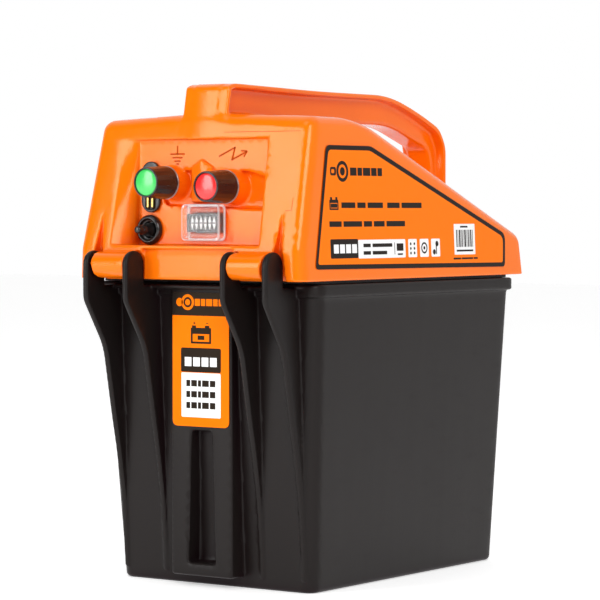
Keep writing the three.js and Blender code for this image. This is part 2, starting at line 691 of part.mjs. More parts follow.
function latchPin() {
  return rodX(LATCH.pinRadius, -LATCH.cheekOuter - 0.5, LATCH.cheekOuter + 0.5, LATCH.y, LATCH.z, 20);
}

// ---------------------------------------------------------------- scene graph
const fenceEnergizer = new THREE.Group();

function place(parent, name, geometry, material, x = 0, y = 0, z = 0) {
  const mesh = new THREE.Mesh(geometry, material);
  mesh.name = name;
  mesh.position.set(x, y, z);
  parent.add(mesh);
  return mesh;
}

const box = new THREE.Group();
fenceEnergizer.add(box);
place(box, 'battery_box', batteryBox(), BLACK);
place(box, 'front_label', frontLabel(), LABEL);
place(box, 'left_hinge_pin', hingePin(-1), STEEL);
place(box, 'right_hinge_pin', hingePin(1), STEEL);
place(box, 'battery_case', batteryCase(), BATTERY_GREY);
place(box, 'battery_cover', batteryCover(), BATTERY_GREY);
place(box, 'battery_positive_post', batteryPost(), BRASS, -32, 70);
place(box, 'battery_negative_post', batteryPost(), BRASS, 32, 70);

const head = new THREE.Group();
fenceEnergizer.add(head);
place(head, 'energizer_housing', energizerHousing(), ORANGE);
place(head, 'left_side_label', sideLabel(-1), LABEL);
place(head, 'right_side_label', sideLabel(1), LABEL);
place(head, 'base_plate', basePlate(), BLACK);
place(head, 'housing_gasket', housingGasket(), RUBBER);
BOSS_PLACES.forEach(([x, y], index) => place(head, `base_screw_${index + 1}`, baseScrew(), STEEL, x, y));
place(head, 'positive_lead_gland', leadGland(), RUBBER, -20, 70);
place(head, 'negative_lead_gland', leadGland(), RUBBER, 20, 70);
place(head, 'circuit_board', circuitBoard(), BOARD_GREEN);
POST_PLACES.forEach(([x, y], index) => place(head, `board_screw_${index + 1}`, boardScrew(), STEEL, x, y));
place(head, 'transformer_core', transformerCore(), FERRITE, -26, -36);
place(head, 'transformer_winding', transformerWinding(), COPPER, -26, -36);
place(head, 'storage_capacitor_1', storageCapacitor(), SATIN_BLACK, 28, -44);
place(head, 'storage_capacitor_2', storageCapacitor(), SATIN_BLACK, 28, -10);
place(head, 'converter_coil', converterCoil(), COPPER, -34, 10);
place(head, 'heat_sink', heatSink(), ALUMINIUM, 22, 20);
place(head, 'control_chip', controlChip(), SATIN_BLACK, -20, 46);
place(head, 'terminal_block', terminalBlock(), BOARD_GREEN, 20, 66);

const TERMINALS = [['earth', -TERMINAL_X, EARTH_Z, GREEN], ['fence', TERMINAL_X, FENCE_Z, RED]];
TERMINALS.forEach(([name, x, z, capColour]) => {
  place(head, `${name}_stud`, terminalStud(x, z), BRASS);
  place(head, `${name}_stud_nut`, studNut(x, z), BRASS);
  place(head, `${name}_washer`, terminalWasher(x, z), STEEL);
  place(head, `${name}_knob`, terminalKnob(x, z), SATIN_BLACK);
  place(head, `${name}_knob_cap`, knobCap(x, z), capColour);
});
place(head, 'socket_plate', socketPlate(), SATIN_BLACK);
place(head, 'socket_pin_left', socketPin(-SOCKET_PIN_OFFSET), BRASS);
place(head, 'socket_pin_right', socketPin(SOCKET_PIN_OFFSET), BRASS);
place(head, 'switch_bezel', switchBezel(), SATIN_BLACK);
place(head, 'switch_body', switchBody(), SATIN_BLACK);
place(head, 'switch_lever', switchLever(), SATIN_BLACK);
place(head, 'window_lens', windowLens(), CLEAR);
place(head, 'display_module', displayModule(), SATIN_BLACK);
place(head, 'rear_latch', rearLatch(), BLACK);
place(head, 'latch_pin', latchPin(), STEEL);

export default fenceEnergizer;
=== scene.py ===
"""A portable fence energizer: smooth moulded shells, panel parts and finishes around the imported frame."""

import json
import logging
import math
from dataclasses import dataclass
from enum import Enum
from typing import Callable, Iterable, Optional, Sequence, Union

import bmesh
import bpy
import numpy as np
import openvdb
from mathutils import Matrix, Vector

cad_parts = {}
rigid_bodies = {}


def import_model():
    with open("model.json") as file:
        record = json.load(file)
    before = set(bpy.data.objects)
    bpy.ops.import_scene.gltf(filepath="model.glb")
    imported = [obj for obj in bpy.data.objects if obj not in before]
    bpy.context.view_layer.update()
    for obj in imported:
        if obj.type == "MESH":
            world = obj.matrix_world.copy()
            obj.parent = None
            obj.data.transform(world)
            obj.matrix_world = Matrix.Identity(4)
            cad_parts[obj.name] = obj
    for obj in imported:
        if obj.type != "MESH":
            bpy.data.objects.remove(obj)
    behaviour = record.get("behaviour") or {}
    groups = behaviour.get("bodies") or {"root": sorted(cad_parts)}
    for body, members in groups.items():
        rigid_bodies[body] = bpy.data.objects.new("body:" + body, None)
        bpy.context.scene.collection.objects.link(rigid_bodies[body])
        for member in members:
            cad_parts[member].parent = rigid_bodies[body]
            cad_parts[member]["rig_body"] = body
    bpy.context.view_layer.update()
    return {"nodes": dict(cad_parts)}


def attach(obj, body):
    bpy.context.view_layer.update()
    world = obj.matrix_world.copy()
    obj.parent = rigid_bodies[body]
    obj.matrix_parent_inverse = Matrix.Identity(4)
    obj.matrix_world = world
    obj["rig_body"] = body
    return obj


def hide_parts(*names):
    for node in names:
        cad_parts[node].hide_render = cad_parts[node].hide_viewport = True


logging.basicConfig(level=logging.INFO, format="%(message)s")
LOG = logging.getLogger("energizer")

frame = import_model()

MM = 0.001
Colour = tuple[float, float, float]
Point = tuple[float, float, float]
Corner = tuple[float, ...]
Placer = Callable[[float, float, float], Point]
Field = np.ndarray
Piece = bpy.types.Object
Material = bpy.types.Material
WHITE = (1.0, 1.0, 1.0)

# Sizes that several classes share, in mm.
HINGE_Y, HINGE_Z = -133.0, 198.75
HINGE_BORE = 2.8
FIN_OFFSETS = (37.3, 68.6)
FIN_HALF = 2.0
EAR_RADIUS = 9.0
PANEL_Y, PANEL_INNER_Y = -110.0, -104.0
TERMINALS = {"earth": (-23.0, 249.6), "fence": (23.0, 246.9)}
SWITCH_X, SWITCH_Z = -41.3, 220.5
HEAD_BOTTOM, HEAD_HALF, HEAD_FRONT = 190.0, 86.3, -128.0
SIDE_DRAFT = 0.044
LEAN, LEAN_START, BOW = 0.24, 209.0, 0.03
SPINE_FRONT = -113.0


# --- shader nodes
Value = Union["Wire", float, int, Sequence[float]]
Inputs = dict[Union[int, str], Value]


class Tree:
    """Builds one node tree, a node at a time."""

    def __init__(self, tree: bpy.types.NodeTree) -> None:
        """Takes the material's node tree or the node group to fill."""
        self.tree = tree

    def node(self, kind: str, inputs: Optional[Inputs] = None, **settings: object) -> bpy.types.Node:
        """Adds a node.

        Args:
            kind: the node's type name.
            inputs: values or wires by socket name or index.
            **settings: the node's own properties, set before the inputs; a
                ramp's stops are (position, brightness) pairs in order.

        Returns:
            The new node.
        """
        made = self.tree.nodes.new(kind)
        stops = settings.pop("stops", ())
        for name, setting in settings.items():
            setattr(made, name, setting)
        for index, (position, brightness) in enumerate(stops):
            elements = made.color_ramp.elements
            element = elements[index] if index < len(elements) else elements.new(1.0)
            element.position = position
            element.color = (brightness, brightness, brightness, 1.0)
        self.fill(made, inputs or {})
        return made

    def fill(self, node: bpy.types.Node, inputs: Inputs) -> None:
        """Sets or links input sockets.

        Args:
            node: the node they belong to.
            inputs: values or wires by socket name or index.
        """
        for key, value in inputs.items():
            if isinstance(value, Wire):
                self.tree.links.new(value.socket, node.inputs[key])
            else:
                node.inputs[key].default_value = value

    def wire(
        self, kind: str, inputs: Optional[Inputs] = None, output: Union[int, str] = 0, **settings: object,
    ) -> "Wire":
        """Adds a node and returns one of its outputs as a wire."""
        return Wire(self, self.node(kind, inputs, **settings).outputs[output])

    def ramp(self, factor: "Wire", *stops: tuple[float, float]) -> "Wire":
        """Maps a value through a grey ramp of (position, brightness) stops."""
        return self.wire("ShaderNodeValToRGB", {"Fac": factor}, "Color", stops=stops)

    def mix(self, factor: Value, first: Union["Wire", Colour], second: Union["Wire", Colour]) -> "Wire":
        """Blends two colours by a factor."""
        first, second = (value if isinstance(value, Wire) else (*value, 1.0) for value in (first, second))
        return self.wire("ShaderNodeMix", {0: factor, 6: first, 7: second}, 2, data_type="RGBA")

    def noise(self, scale: float, detail: float = 3.0, stretch: Point = WHITE) -> "Wire":
        """Noise on object coordinates.

        Args:
            scale: cells per metre.
            detail: octaves.
            stretch: scaling of the pattern along each axis.

        Returns:
            The noise value.
        """
        place = self.wire("ShaderNodeTexCoord", output="Object")
        mapped = self.wire("ShaderNodeMapping", {"Vector": place, "Scale": stretch})
        return self.wire("ShaderNodeTexNoise", {"Vector": mapped, "Scale": scale, "Detail": detail}, "Fac")


def sign(operation: str, reflected: bool = False) -> Callable[["Wire", Value], "Wire"]:
    """Makes the method behind an arithmetic sign.

    Args:
        operation: the Math node's operation.
        reflected: whether the wire is the second value.

    Returns:
        The method.
    """
    def apply(self: "Wire", other: Value) -> "Wire":
        """Adds the Math node."""
        first, second = (other, self) if reflected else (self, other)
        return self.tree.wire("ShaderNodeMath", {0: first, 1: second}, operation=operation)

    return apply


class Wire:
    """One output socket that takes part in arithmetic."""

    def __init__(self, tree: Tree, socket: bpy.types.NodeSocket) -> None:
        """Wraps an output socket of a tree."""
        self.tree = tree
        self.socket = socket

    __add__, __radd__ = sign("ADD"), sign("ADD", True)
    __sub__, __rsub__ = sign("SUBTRACT"), sign("SUBTRACT", True)
    __mul__, __rmul__ = sign("MULTIPLY"), sign("MULTIPLY", True)

    def clamped(self) -> "Wire":
        """The value kept between zero and one."""
        return self.tree.wire("ShaderNodeMath", {0: self, 1: 0.0}, operation="ADD", use_clamp=True)


# --- finishes
def shaded(colour: Colour, share: float) -> Colour:
    """A colour darkened to a share of itself."""
    return tuple(share * part for part in colour)


class Finish:
    """A finish that fills one Principled shader."""

    def inputs(self, tree: Tree) -> Inputs:
        """The shader's inputs.

        Args:
            tree: the material's tree.

        Returns:
            Values or wires by socket name, with the relief's height in metres as "Height".
        """
        raise NotImplementedError

    def build(self, name: str) -> Material:
        """Makes the material.

        Args:
            name: its name.

        Returns:
            The new material.
        """
        material = bpy.data.materials.new(name)
        material.use_nodes = True
        tree = Tree(material.node_tree)
        inputs = self.inputs(tree)
        if "Height" in inputs:
            bump = {"Height": inputs.pop("Height"), "Distance": 1.0, "Strength": 1.0}
            inputs["Normal"] = tree.wire("ShaderNodeBump", bump, "Normal")
        tree.fill(material.node_tree.nodes["Principled BSDF"], inputs)
        return material


@dataclass(frozen=True)
class MouldedPlastic(Finish):
    """Injection-moulded plastic: slight colour drift, fine grain, faint scuffs, worn edges, and painted shade that
    darkens and reddens its creases.
    """

    colour: Colour
    roughness: float = 0.32
    ripple_depth: float = 0.0
    coat: float = 0.0
    wear: float = 0.25
    specular: float = 0.5
    # Strength of the painted shade that darkens creases and hollows.
    painted_crease_shade: float = 0.0
    sheen: Colour = WHITE
    grain_scale: float = 1400.0
    grain_depth: float = 0.00004
    crease_reach: float = 0.016

    def inputs(self, tree: Tree) -> Inputs:
        """The shader's inputs."""
        drift = tree.noise(14.0, 4.0)
        scuff = tree.ramp(tree.noise(240.0, 6.0, (1.0, 0.25, 1.0)), (0.56, 0.0), (0.74, 1.0))
        base = tree.mix(drift, shaded(self.colour, 0.86), self.colour)
        edge = tree.wire("ShaderNodeNewGeometry", output="Pointiness")
        worn = tree.ramp(edge, (0.52, 0.0), (0.6, 1.0)) * (tree.noise(300.0, 5.0) * self.wear)
        pale = tuple(min(1.0, part * 1.25 + 0.03) for part in self.colour)
        # Painted shade: where ambient occlusion finds creases and hollows, the colour is darkened toward a redder
        # tone that stands in for shade and bounced light.
        open_sky = tree.wire("ShaderNodeAmbientOcclusion", {"Distance": self.crease_reach}, "AO", samples=8)
        painted_shade = tree.ramp(open_sky, (0.28, 1.0), (0.74, 0.0)) * self.painted_crease_shade
        shade_colour = tuple(part * share for part, share in zip(self.colour, (0.78, 0.3, 0.5)))
        rough = self.roughness + scuff * 0.07 + tree.noise(35.0, 3.0) * 0.06
        ripple = tree.noise(30.0, 2.0, (1.0, 1.0, 0.08))
        return {
            "Base Color": tree.mix(painted_shade, tree.mix(worn, base, pale), shade_colour), "Roughness": rough - 0.03,
            "Coat Weight": self.coat, "Coat Roughness": 0.12, "Specular IOR Level": self.specular,
            "Specular Tint": (*self.sheen, 1.0),
            "Height": tree.noise(self.grain_scale, 2.0) * self.grain_depth + ripple * self.ripple_depth,
        }


@dataclass(frozen=True)
class PlatedMetal(Finish):
    """Turned or plated metal with fine brushing and small stains."""

    colour: Colour
    roughness: float = 0.28
    brush: Point = (1.0, 30.0, 1.0)

    def inputs(self, tree: Tree) -> Inputs:
        """The shader's inputs."""
        stain = tree.noise(120.0, 4.0)
        brushed = tree.noise(900.0, 3.0, self.brush)
        return {
            "Base Color": tree.mix(stain, shaded(self.colour, 0.7), self.colour), "Metallic": 1.0,
            "Roughness": self.roughness + brushed * 0.16 - 0.06, "Height": brushed * 0.00003,
        }


@dataclass(frozen=True)
class ClearPlastic(Finish):
    """Clear moulded cover, seen through with light haze, and a painted highlight: a white, more opaque rim on its
    sharp edges.
    """

    opacity: float = 0.05

    def inputs(self, tree: Tree) -> Inputs:
        """The shader's inputs."""
        haze = tree.noise(300.0, 4.0)
        # Painted highlight: sharp edges, found by pointiness, are made more opaque so the white base shows as a
        # bright rim.
        edge = tree.ramp(tree.wire("ShaderNodeNewGeometry", output="Pointiness"), (0.5, 0.0), (0.54, 1.0))
        return {
            "Base Color": tree.mix(haze, (0.86, 0.88, 0.9), WHITE), "Roughness": haze * 0.08 + 0.02,
            "Alpha": (edge * 0.7 + self.opacity + haze * 0.04).clamped(), "IOR": 1.49, "Coat Weight": 0.6,
        }


@dataclass(frozen=True)
class MattSurface(Finish):
    """Rubber, laminate or ferrite: two close shades in a fine pattern with a little relief."""

    light: Colour
    dark: Colour
    roughness: float = 0.6
    scale: float = 500.0
    relief: float = 0.00006

    def inputs(self, tree: Tree) -> Inputs:
        """The shader's inputs."""
        grain = tree.noise(self.scale, 4.0)
        blotch = tree.noise(40.0, 3.0)
        return {
            "Base Color": tree.mix(tree.ramp(grain, (0.4, 0.0), (0.62, 1.0)), self.dark, self.light),
            "Roughness": self.roughness + blotch * 0.18 - 0.09, "Height": grain * self.relief,
        }


@dataclass(frozen=True)
class PrintedFilm(Finish):
    """Printed label film: flat ink under a thin clear coat with faint dust."""

    colour: Colour
    roughness: float = 0.34

    def inputs(self, tree: Tree) -> Inputs:
        """The shader's inputs."""
        dust = tree.ramp(tree.noise(160.0, 5.0), (0.5, 0.0), (0.75, 1.0))
        return {
            "Base Color": tree.mix(tree.noise(2600.0, 2.0), shaded(self.colour, 0.92), self.colour),
            "Roughness": self.roughness + dust * 0.12, "Specular IOR Level": 0.12,
            "Specular Tint": (1.0, 0.6, 0.2, 1.0), "Height": tree.noise(90.0, 2.0) * 0.00003,
        }


@dataclass(frozen=True)
class FloorPaper(Finish):
    """Pale matt paper that glows a little, so that it stays near white."""

    glow: float = 0.43

    def inputs(self, tree: Tree) -> Inputs:
        """The shader's inputs."""
        return {
            "Base Color": tree.mix(tree.noise(6.0, 2.0), (0.93, 0.93, 0.93), (0.95, 0.95, 0.95)),
            "Roughness": 0.9, "Specular IOR Level": 0.1, "Emission Color": (*WHITE, 1.0),
            "Emission Strength": self.glow,
        }


class Ink(Enum):
    """Inks on the labels, in linear colour."""

    ORANGE = (1.0, 0.19, 0.0)
    BLACK = (0.012, 0.01, 0.01)
    WHITE = (0.9, 0.9, 0.9)


FINISH_OF_SLOT: dict[str, Finish] = {
    # The orange and black shells darken their creases with painted shade.
    "orange_shell": MouldedPlastic(
        (1.0, 0.18, 0.002), 0.13, wear=0.06, specular=0.42, painted_crease_shade=0.85, sheen=(1.0, 0.85, 0.6)),
    "black_shell": MouldedPlastic(
        (0.0118, 0.0088, 0.0082), 0.36, ripple_depth=0.00025, wear=0.04, specular=0.17, painted_crease_shade=0.9),
    "satin_black": MouldedPlastic((0.012, 0.01, 0.01), 0.24, wear=0.1),
    "green_cap": MouldedPlastic((0.055, 0.62, 0.12), 0.2, wear=0.0, coat=0.4),
    "red_cap": MouldedPlastic((0.78, 0.022, 0.022), 0.2, wear=0.0, coat=0.4),
    "battery_plastic": MouldedPlastic((0.07, 0.08, 0.09), 0.5),
    "steel": PlatedMetal((0.5, 0.5, 0.52)),
    "brass": PlatedMetal((0.83, 0.56, 0.17), 0.25),
    "copper": PlatedMetal((0.75, 0.28, 0.12), 0.3, (1.0, 1.0, 60.0)),
    "aluminium": PlatedMetal((0.62, 0.63, 0.65), 0.36, (30.0, 1.0, 1.0)),
    "clear_plastic": ClearPlastic(),
    "rubber": MattSurface((0.02, 0.02, 0.02), (0.012, 0.012, 0.012), 0.75),
    "board_laminate": MattSurface((0.02, 0.13, 0.05), (0.012, 0.08, 0.03), 0.45, 260.0),
    "ferrite": MattSurface((0.055, 0.055, 0.06), (0.03, 0.03, 0.032), 0.6, 900.0),
}


def dress(made: Piece, material: Material) -> None:
    """Gives an object one material."""
    made.data.materials.clear()
    made.data.materials.append(material)


class Finishes:
    """Every material of the object, made once."""

    def __init__(self) -> None:
        """Builds the materials."""
        self.by_slot = {slot: finish.build(slot) for slot, finish in FINISH_OF_SLOT.items()}
        self.inks = {ink: PrintedFilm(ink.value).build(f"ink_{ink.name.lower()}") for ink in Ink}
        self.by_slot["label_film"] = self.inks[Ink.ORANGE]
        # Painted shade: the moulded symbols and mould lines are the housing's own orange, and this darker
        # brown-orange stands in for the shade in their strokes.
        self.marks = MouldedPlastic(
            (0.56, 0.07, 0.001), 0.5, wear=0.0, specular=0.1, sheen=(1.0, 0.5, 0.1)).build("painted_shade_strokes")

    def place(
        self, made: Piece, body: str, slot: str, *stands_for: str,
        material: Optional[Material] = None,
    ) -> Piece:
        """Gives a piece the finish of its slot, or another one, attaches it to its body, and hides the CAD nodes it
        stands for.

        Args:
            made: the piece.
            body: the moving body that carries it.
            slot: the record's material slot.
            *stands_for: the CAD nodes that it replaces.
            material: a finish other than the slot's own.

        Returns:
            The piece.
        """
        dress(made, material or self.by_slot[slot])
        if stands_for:
            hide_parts(*stands_for)
        LOG.info("%s on %s, %s", made.name, body, slot)
        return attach(made, body)


# --- mesh helpers
def added(name: str, data: bpy.types.ID) -> Piece:
    """Makes an object.

    Args:
        name: its name.
        data: its mesh, light or camera.

    Returns:
        The new object.
    """
    made = bpy.data.objects.new(name, data)
    bpy.context.collection.objects.link(made)
    return made


def add_mesh(
    name: str, points: Iterable[Sequence[float]], faces: Iterable[Sequence[int]], scale: float = MM,
) -> Piece:
    """Makes a mesh object.

    Args:
        name: the object's name.
        points: its points.
        faces: its faces, by index of point.
        scale: metres in one unit of the points.

    Returns:
        The new object.
    """
    mesh = bpy.data.meshes.new(name)
    mesh.from_pydata([tuple(c * scale for c in point) for point in points], [], [tuple(face) for face in faces])
    return added(name, mesh)


def set_smooth(mesh: bpy.types.Mesh, smooth: bool = True) -> None:
    """Shades every face smooth or flat."""
    mesh.polygons.foreach_set("use_smooth", [smooth] * len(mesh.polygons))


def tidy_mesh(made: Piece, smooth: bool = True) -> None:
    """Merges doubles, turns every face outwards and sets the shading.

    Args:
        made: the object.
        smooth: whether its faces are shaded smooth.
    """
    work = bmesh.new()
    work.from_mesh(made.data)
    bmesh.ops.remove_doubles(work, verts=work.verts, dist=1e-7)
    bmesh.ops.dissolve_degenerate(work, edges=work.edges, dist=1e-7)
    bmesh.ops.recalc_face_normals(work, faces=work.faces)
    if work.calc_volume(signed=True) < 0.0:
        bmesh.ops.reverse_faces(work, faces=work.faces)
    work.to_mesh(made.data)
    work.free()
    set_smooth(made.data, smooth)
    made.data.update()


def weighted_normals(made: Piece) -> Piece:
    """Lets large flat faces set the shading next to rounded edges.

    Args:
        made: the object.

    Returns:
        The same object.
    """
    modifier = made.modifiers.new("normals", "WEIGHTED_NORMAL")
    modifier.weight = 50
    modifier.keep_sharp = True
    return made


def softened(finishes: Finishes, node: str, body: str, slot: str, width: float) -> Piece:
    """A copy of a CAD node with its edges rounded.

    Args:
        finishes: the object's materials.
        node: the CAD node's name.
        body: the moving body it belongs to.
        slot: the record's material slot.
        width: edge radius in mm.

    Returns:
        The new object, which stands for the node.
    """
    mesh = frame["nodes"][node].data.copy()
    made = added(f"{node}_piece", mesh)
    work = bmesh.new()
    work.from_mesh(mesh)
    bmesh.ops.remove_doubles(work, verts=work.verts, dist=1e-6)
    bmesh.ops.dissolve_limit(work, angle_limit=0.02, verts=work.verts, edges=work.edges)
    work.to_mesh(mesh)
    work.free()
    set_smooth(mesh)
    bevel = made.modifiers.new("edges", "BEVEL")
    bevel.width = width * MM
    bevel.segments = 3
    bevel.limit_method = "ANGLE"
    bevel.angle_limit = math.radians(40.0)
    return finishes.place(weighted_normals(made), body, slot, node)


# --- outlines
def rounded_outline(corners: Iterable[Corner], arc_steps: int = 8) -> Field:
    """Points of a closed outline whose corners are rounded.

    Args:
        corners: (u, v) or (u, v, radius) in order.
        arc_steps: points along each rounded corner.

    Returns:
        The outline's points, one a row.
    """
    listed = [(np.array(c[:2], float), c[2] if len(c) > 2 else 0.0) for c in corners]
    points: list[Field] = []
    for index, (corner, radius) in enumerate(listed):
        if radius == 0.0:
            points.append(corner)
            continue
        before = listed[index - 1][0] - corner
        after = listed[(index + 1) % len(listed)][0] - corner
        start = corner + before / np.linalg.norm(before) * radius
        end = corner + after / np.linalg.norm(after) * radius
        for t in np.linspace(0.0, 1.0, arc_steps):
            points.append((1 - t) ** 2 * start + 2 * t * (1 - t) * corner + t * t * end)
    return np.array(points)


def bar(u0: float, v0: float, u1: float, v1: float, radius: float = 0.0) -> Field:
    """A rectangle between two corners, with rounded corners."""
    return rounded_outline(((u0, v0, radius), (u1, v0, radius), (u1, v1, radius), (u0, v1, radius)), 4)


def disc(u: float, v: float, radius: float, steps: int = 28) -> Field:
    """A circle."""
    turn = np.linspace(0.0, 2.0 * math.pi, steps, endpoint=False)
    return np.stack((u + radius * np.cos(turn), v + radius * np.sin(turn)), axis=1)


def stroke(u0: float, v0: float, u1: float, v1: float, width: float) -> Field:
    """A straight line between two points.

    Args:
        u0: first coordinate of its start.
        v0: second coordinate of its start.
        u1: first coordinate of its end.
        v1: second coordinate of its end.
        width: its width.

    Returns:
        Its outline.
    """
    along = np.array((u1 - u0, v1 - v0))
    side = np.array((-along[1], along[0])) / np.linalg.norm(along) * width / 2
    start, end = np.array((u0, v0)), np.array((u1, v1))
    return np.stack((start + side, start - side, end - side, end + side))


def bars(u: float, v0: float, v1: float, lengths: Sequence[float], gap: float) -> list[Field]:
    """A row of plain bars where a word or a number would be.

    Args:
        u: where the row starts.
        v0: lower edge.
        v1: upper edge.
        lengths: the bars' lengths.
        gap: space between two bars.

    Returns:
        The bars' outlines.
    """
    row = []
    for length in lengths:
        row.append(bar(u, v0, u + length, v1, 0.3))
        u += length + gap
    return row


def ring_faces(first: int, second: int, count: int) -> list[tuple[int, int, int, int]]:
    """Faces between two closed rows of points that start at two indices."""
    pairs = [(i, (i + 1) % count) for i in range(count)]
    return [(first + i, first + j, second + j, second + i) for i, j in pairs]


def turned(
    name: str, profile: Field, centre: Point, segments: int = 72,
    flute: Callable[[float, float], float] = lambda angle, height: 0.0,
) -> Piece:
    """A turned part, with its height running forwards.

    Args:
        name: the object's name.
        profile: closed outline as (radius, height) rows in mm.
        centre: where height zero is, in mm.
        segments: steps round the axis.
        flute: change of radius by angle and height.

    Returns:
        The new object.
    """
    points: list[Point] = []
    for radius, height in profile:
        for angle in (2.0 * math.pi * step / segments for step in range(segments)):
            r = radius + (flute(angle, height) if radius > 0.0 else 0.0)
            offset = (r * math.cos(angle), -height, r * math.sin(angle))
            points.append(tuple(c + o for c, o in zip(centre, offset)))
    faces = []
    for row in range(len(profile)):
        faces += ring_faces(row * segments, (row + 1) % len(profile) * segments, segments)
    made = add_mesh(name, points, faces)
    tidy_mesh(made)
    made.data.set_sharp_from_angle(angle=math.radians(50.0))
    return made


def stamped(name: str, shapes: Sequence[Field], place: Placer, low: float, high: float) -> Piece:
    """Flat shapes raised over a surface.

    Args:
        name: the object's name.
        shapes: closed outlines in the surface's own two coordinates.
        place: turns (u, v, height) into a point in mm.
        low: height of the underside.
        high: height of the top.

    Returns:
        The new object.
    """
    points: list[Point] = []
    faces: list[Sequence[int]] = []
    for shape in shapes:
        count, first = len(shape), len(points)
        for height in (low, high):
            points.extend(place(u, v, height) for u, v in shape)
        faces.append(range(first + count - 1, first - 1, -1))
        faces.append(range(first + count, first + 2 * count))
        faces += ring_faces(first, first + count, count)
    made = add_mesh(name, points, faces)
    tidy_mesh(made, smooth=False)
    return made


# --- distance fields
class Space:
    """A regular grid of millimetre coordinates that distance fields are worked out on."""

    def __init__(self, low: Point, high: Point, step: float) -> None:
        """Lays the grid.

        Args:
            low: lowest corner in mm.
            high: highest corner in mm.
            step: grid spacing in mm.
        """
        self.low = low
        self.step = step
        axes = [np.arange(a, b, step, dtype=np.float32) for a, b in zip(low, high)]
        self.x = axes[0][:, None, None]
        self.y = axes[1][None, :, None]
        self.z = axes[2][None, None, :]

    def block(
        self, half: float, depth: tuple[float, float], height: tuple[float, float], radii: tuple[float, float],
    ) -> Field:
        """A block on the middle line.

        Args:
            half: half its width.
            depth: its front and rear.
            height: its lower and upper end.
            radii: radius of the upright edges and of the others.

        Returns:
            Its field.
        """
        plan = both(np.abs(self.x) - half, between(self.y, *depth), radii[0])
        return both(plan, between(self.z, *height), radii[1])

    def mesh(self, name: str, solid: Field, adaptivity: float) -> Piece:
        """Turns a field, negative inside, into a mesh object.

        Args:
            name: the object's name.
            solid: the distance field in mm.
            adaptivity: how far flat areas are simplified, 0 to 1.

        Returns:
            The new object, in metres.
        """
        band = 3.0 * self.step
        grid = openvdb.FloatGrid(band)
        shape = np.broadcast_shapes(solid.shape, (self.x.size, self.y.size, self.z.size))
        grid.copyFromArray(np.array(np.broadcast_to(np.clip(solid, -band, band), shape), np.float32, order="C"))
        points, triangles, quads = grid.convertToPolygons(isovalue=0.0, adaptivity=adaptivity)
        places = (np.asarray(points) * self.step + np.array(self.low)) * MM
        made = add_mesh(name, places.tolist(), [*triangles.tolist(), *quads.tolist()], scale=1.0)
        tidy_mesh(made)
        return made


def both(first: Field, second: Field, radius: float = 0.0) -> Field:
    """Where both solids are.

    Args:
        first: one solid's field.
        second: the other's.
        radius: radius of the edge between them.

    Returns:
        The field of the overlap.
    """
    if radius == 0.0:
        return np.maximum(first, second)
    a = np.maximum(first + radius, 0.0)
    b = np.maximum(second + radius, 0.0)
    return np.minimum(np.maximum(first, second), -radius) + np.sqrt(a * a + b * b)


def either(first: Field, second: Field, radius: float = 0.0) -> Field:
    """Where either solid is, with the inner corner between them filled to a radius."""
    return -both(-first, -second, radius)


def without(solid: Field, tool: Field, radius: float = 0.0) -> Field:
    """The solid with the tool cut from it, with the new edge rounded to a radius."""
    return both(solid, -tool, radius)


def between(value: Field, low: float, high: float) -> Field:
    """Distance to a slab from low to high."""
    return np.abs(value - (low + high) / 2) - (high - low) / 2


def away(u: Field, v: Field, u0: float = 0.0, v0: float = 0.0) -> Field:
    """Distance in a plane from a point."""
    return np.sqrt((u - u0) ** 2 + (v - v0) ** 2)


def round_rectangle(across: Field, along: Field, radius: float) -> Field:
    """A rectangle with round corners, from how far points are past its corners' centres."""
    corner = away(np.maximum(across, 0.0), np.maximum(along, 0.0))
    return np.minimum(np.maximum(across, along), 0.0) + corner - radius


def outline_distance(u: Field, v: Field, points: Field) -> Field:
    """Signed distance in a plane to a closed outline.

    Args:
        u: first coordinate over the grid.
        v: second coordinate over the grid.
        points: the outline's points, one a row.

    Returns:
        The distance, negative inside.
    """
    u, v = np.broadcast_arrays(u, v)
    nearest = np.full(u.shape, 1e9, np.float32)
    inside = np.zeros(u.shape, bool)
    for (u0, v0), (u1, v1) in zip(points, np.roll(points, -1, axis=0)):
        du, dv = u1 - u0, v1 - v0
        length = du * du + dv * dv
        if length == 0.0:
            continue
        t = np.clip(((u - u0) * du + (v - v0) * dv) / length, 0.0, 1.0)
        nearest = np.minimum(nearest, (u - u0 - t * du) ** 2 + (v - v0 - t * dv) ** 2)
        if dv != 0.0:
            inside ^= ((v0 > v) != (v1 > v)) & (u < du * (v - v0) / dv + u0)
    return np.where(inside, -1.0, 1.0).astype(np.float32) * np.sqrt(nearest)


def around_hinge(space: Space, radius: float) -> Field:
    """A cylinder about the head's hinge axis."""
    return away(space.y, space.z, HINGE_Y, HINGE_Z) - radius


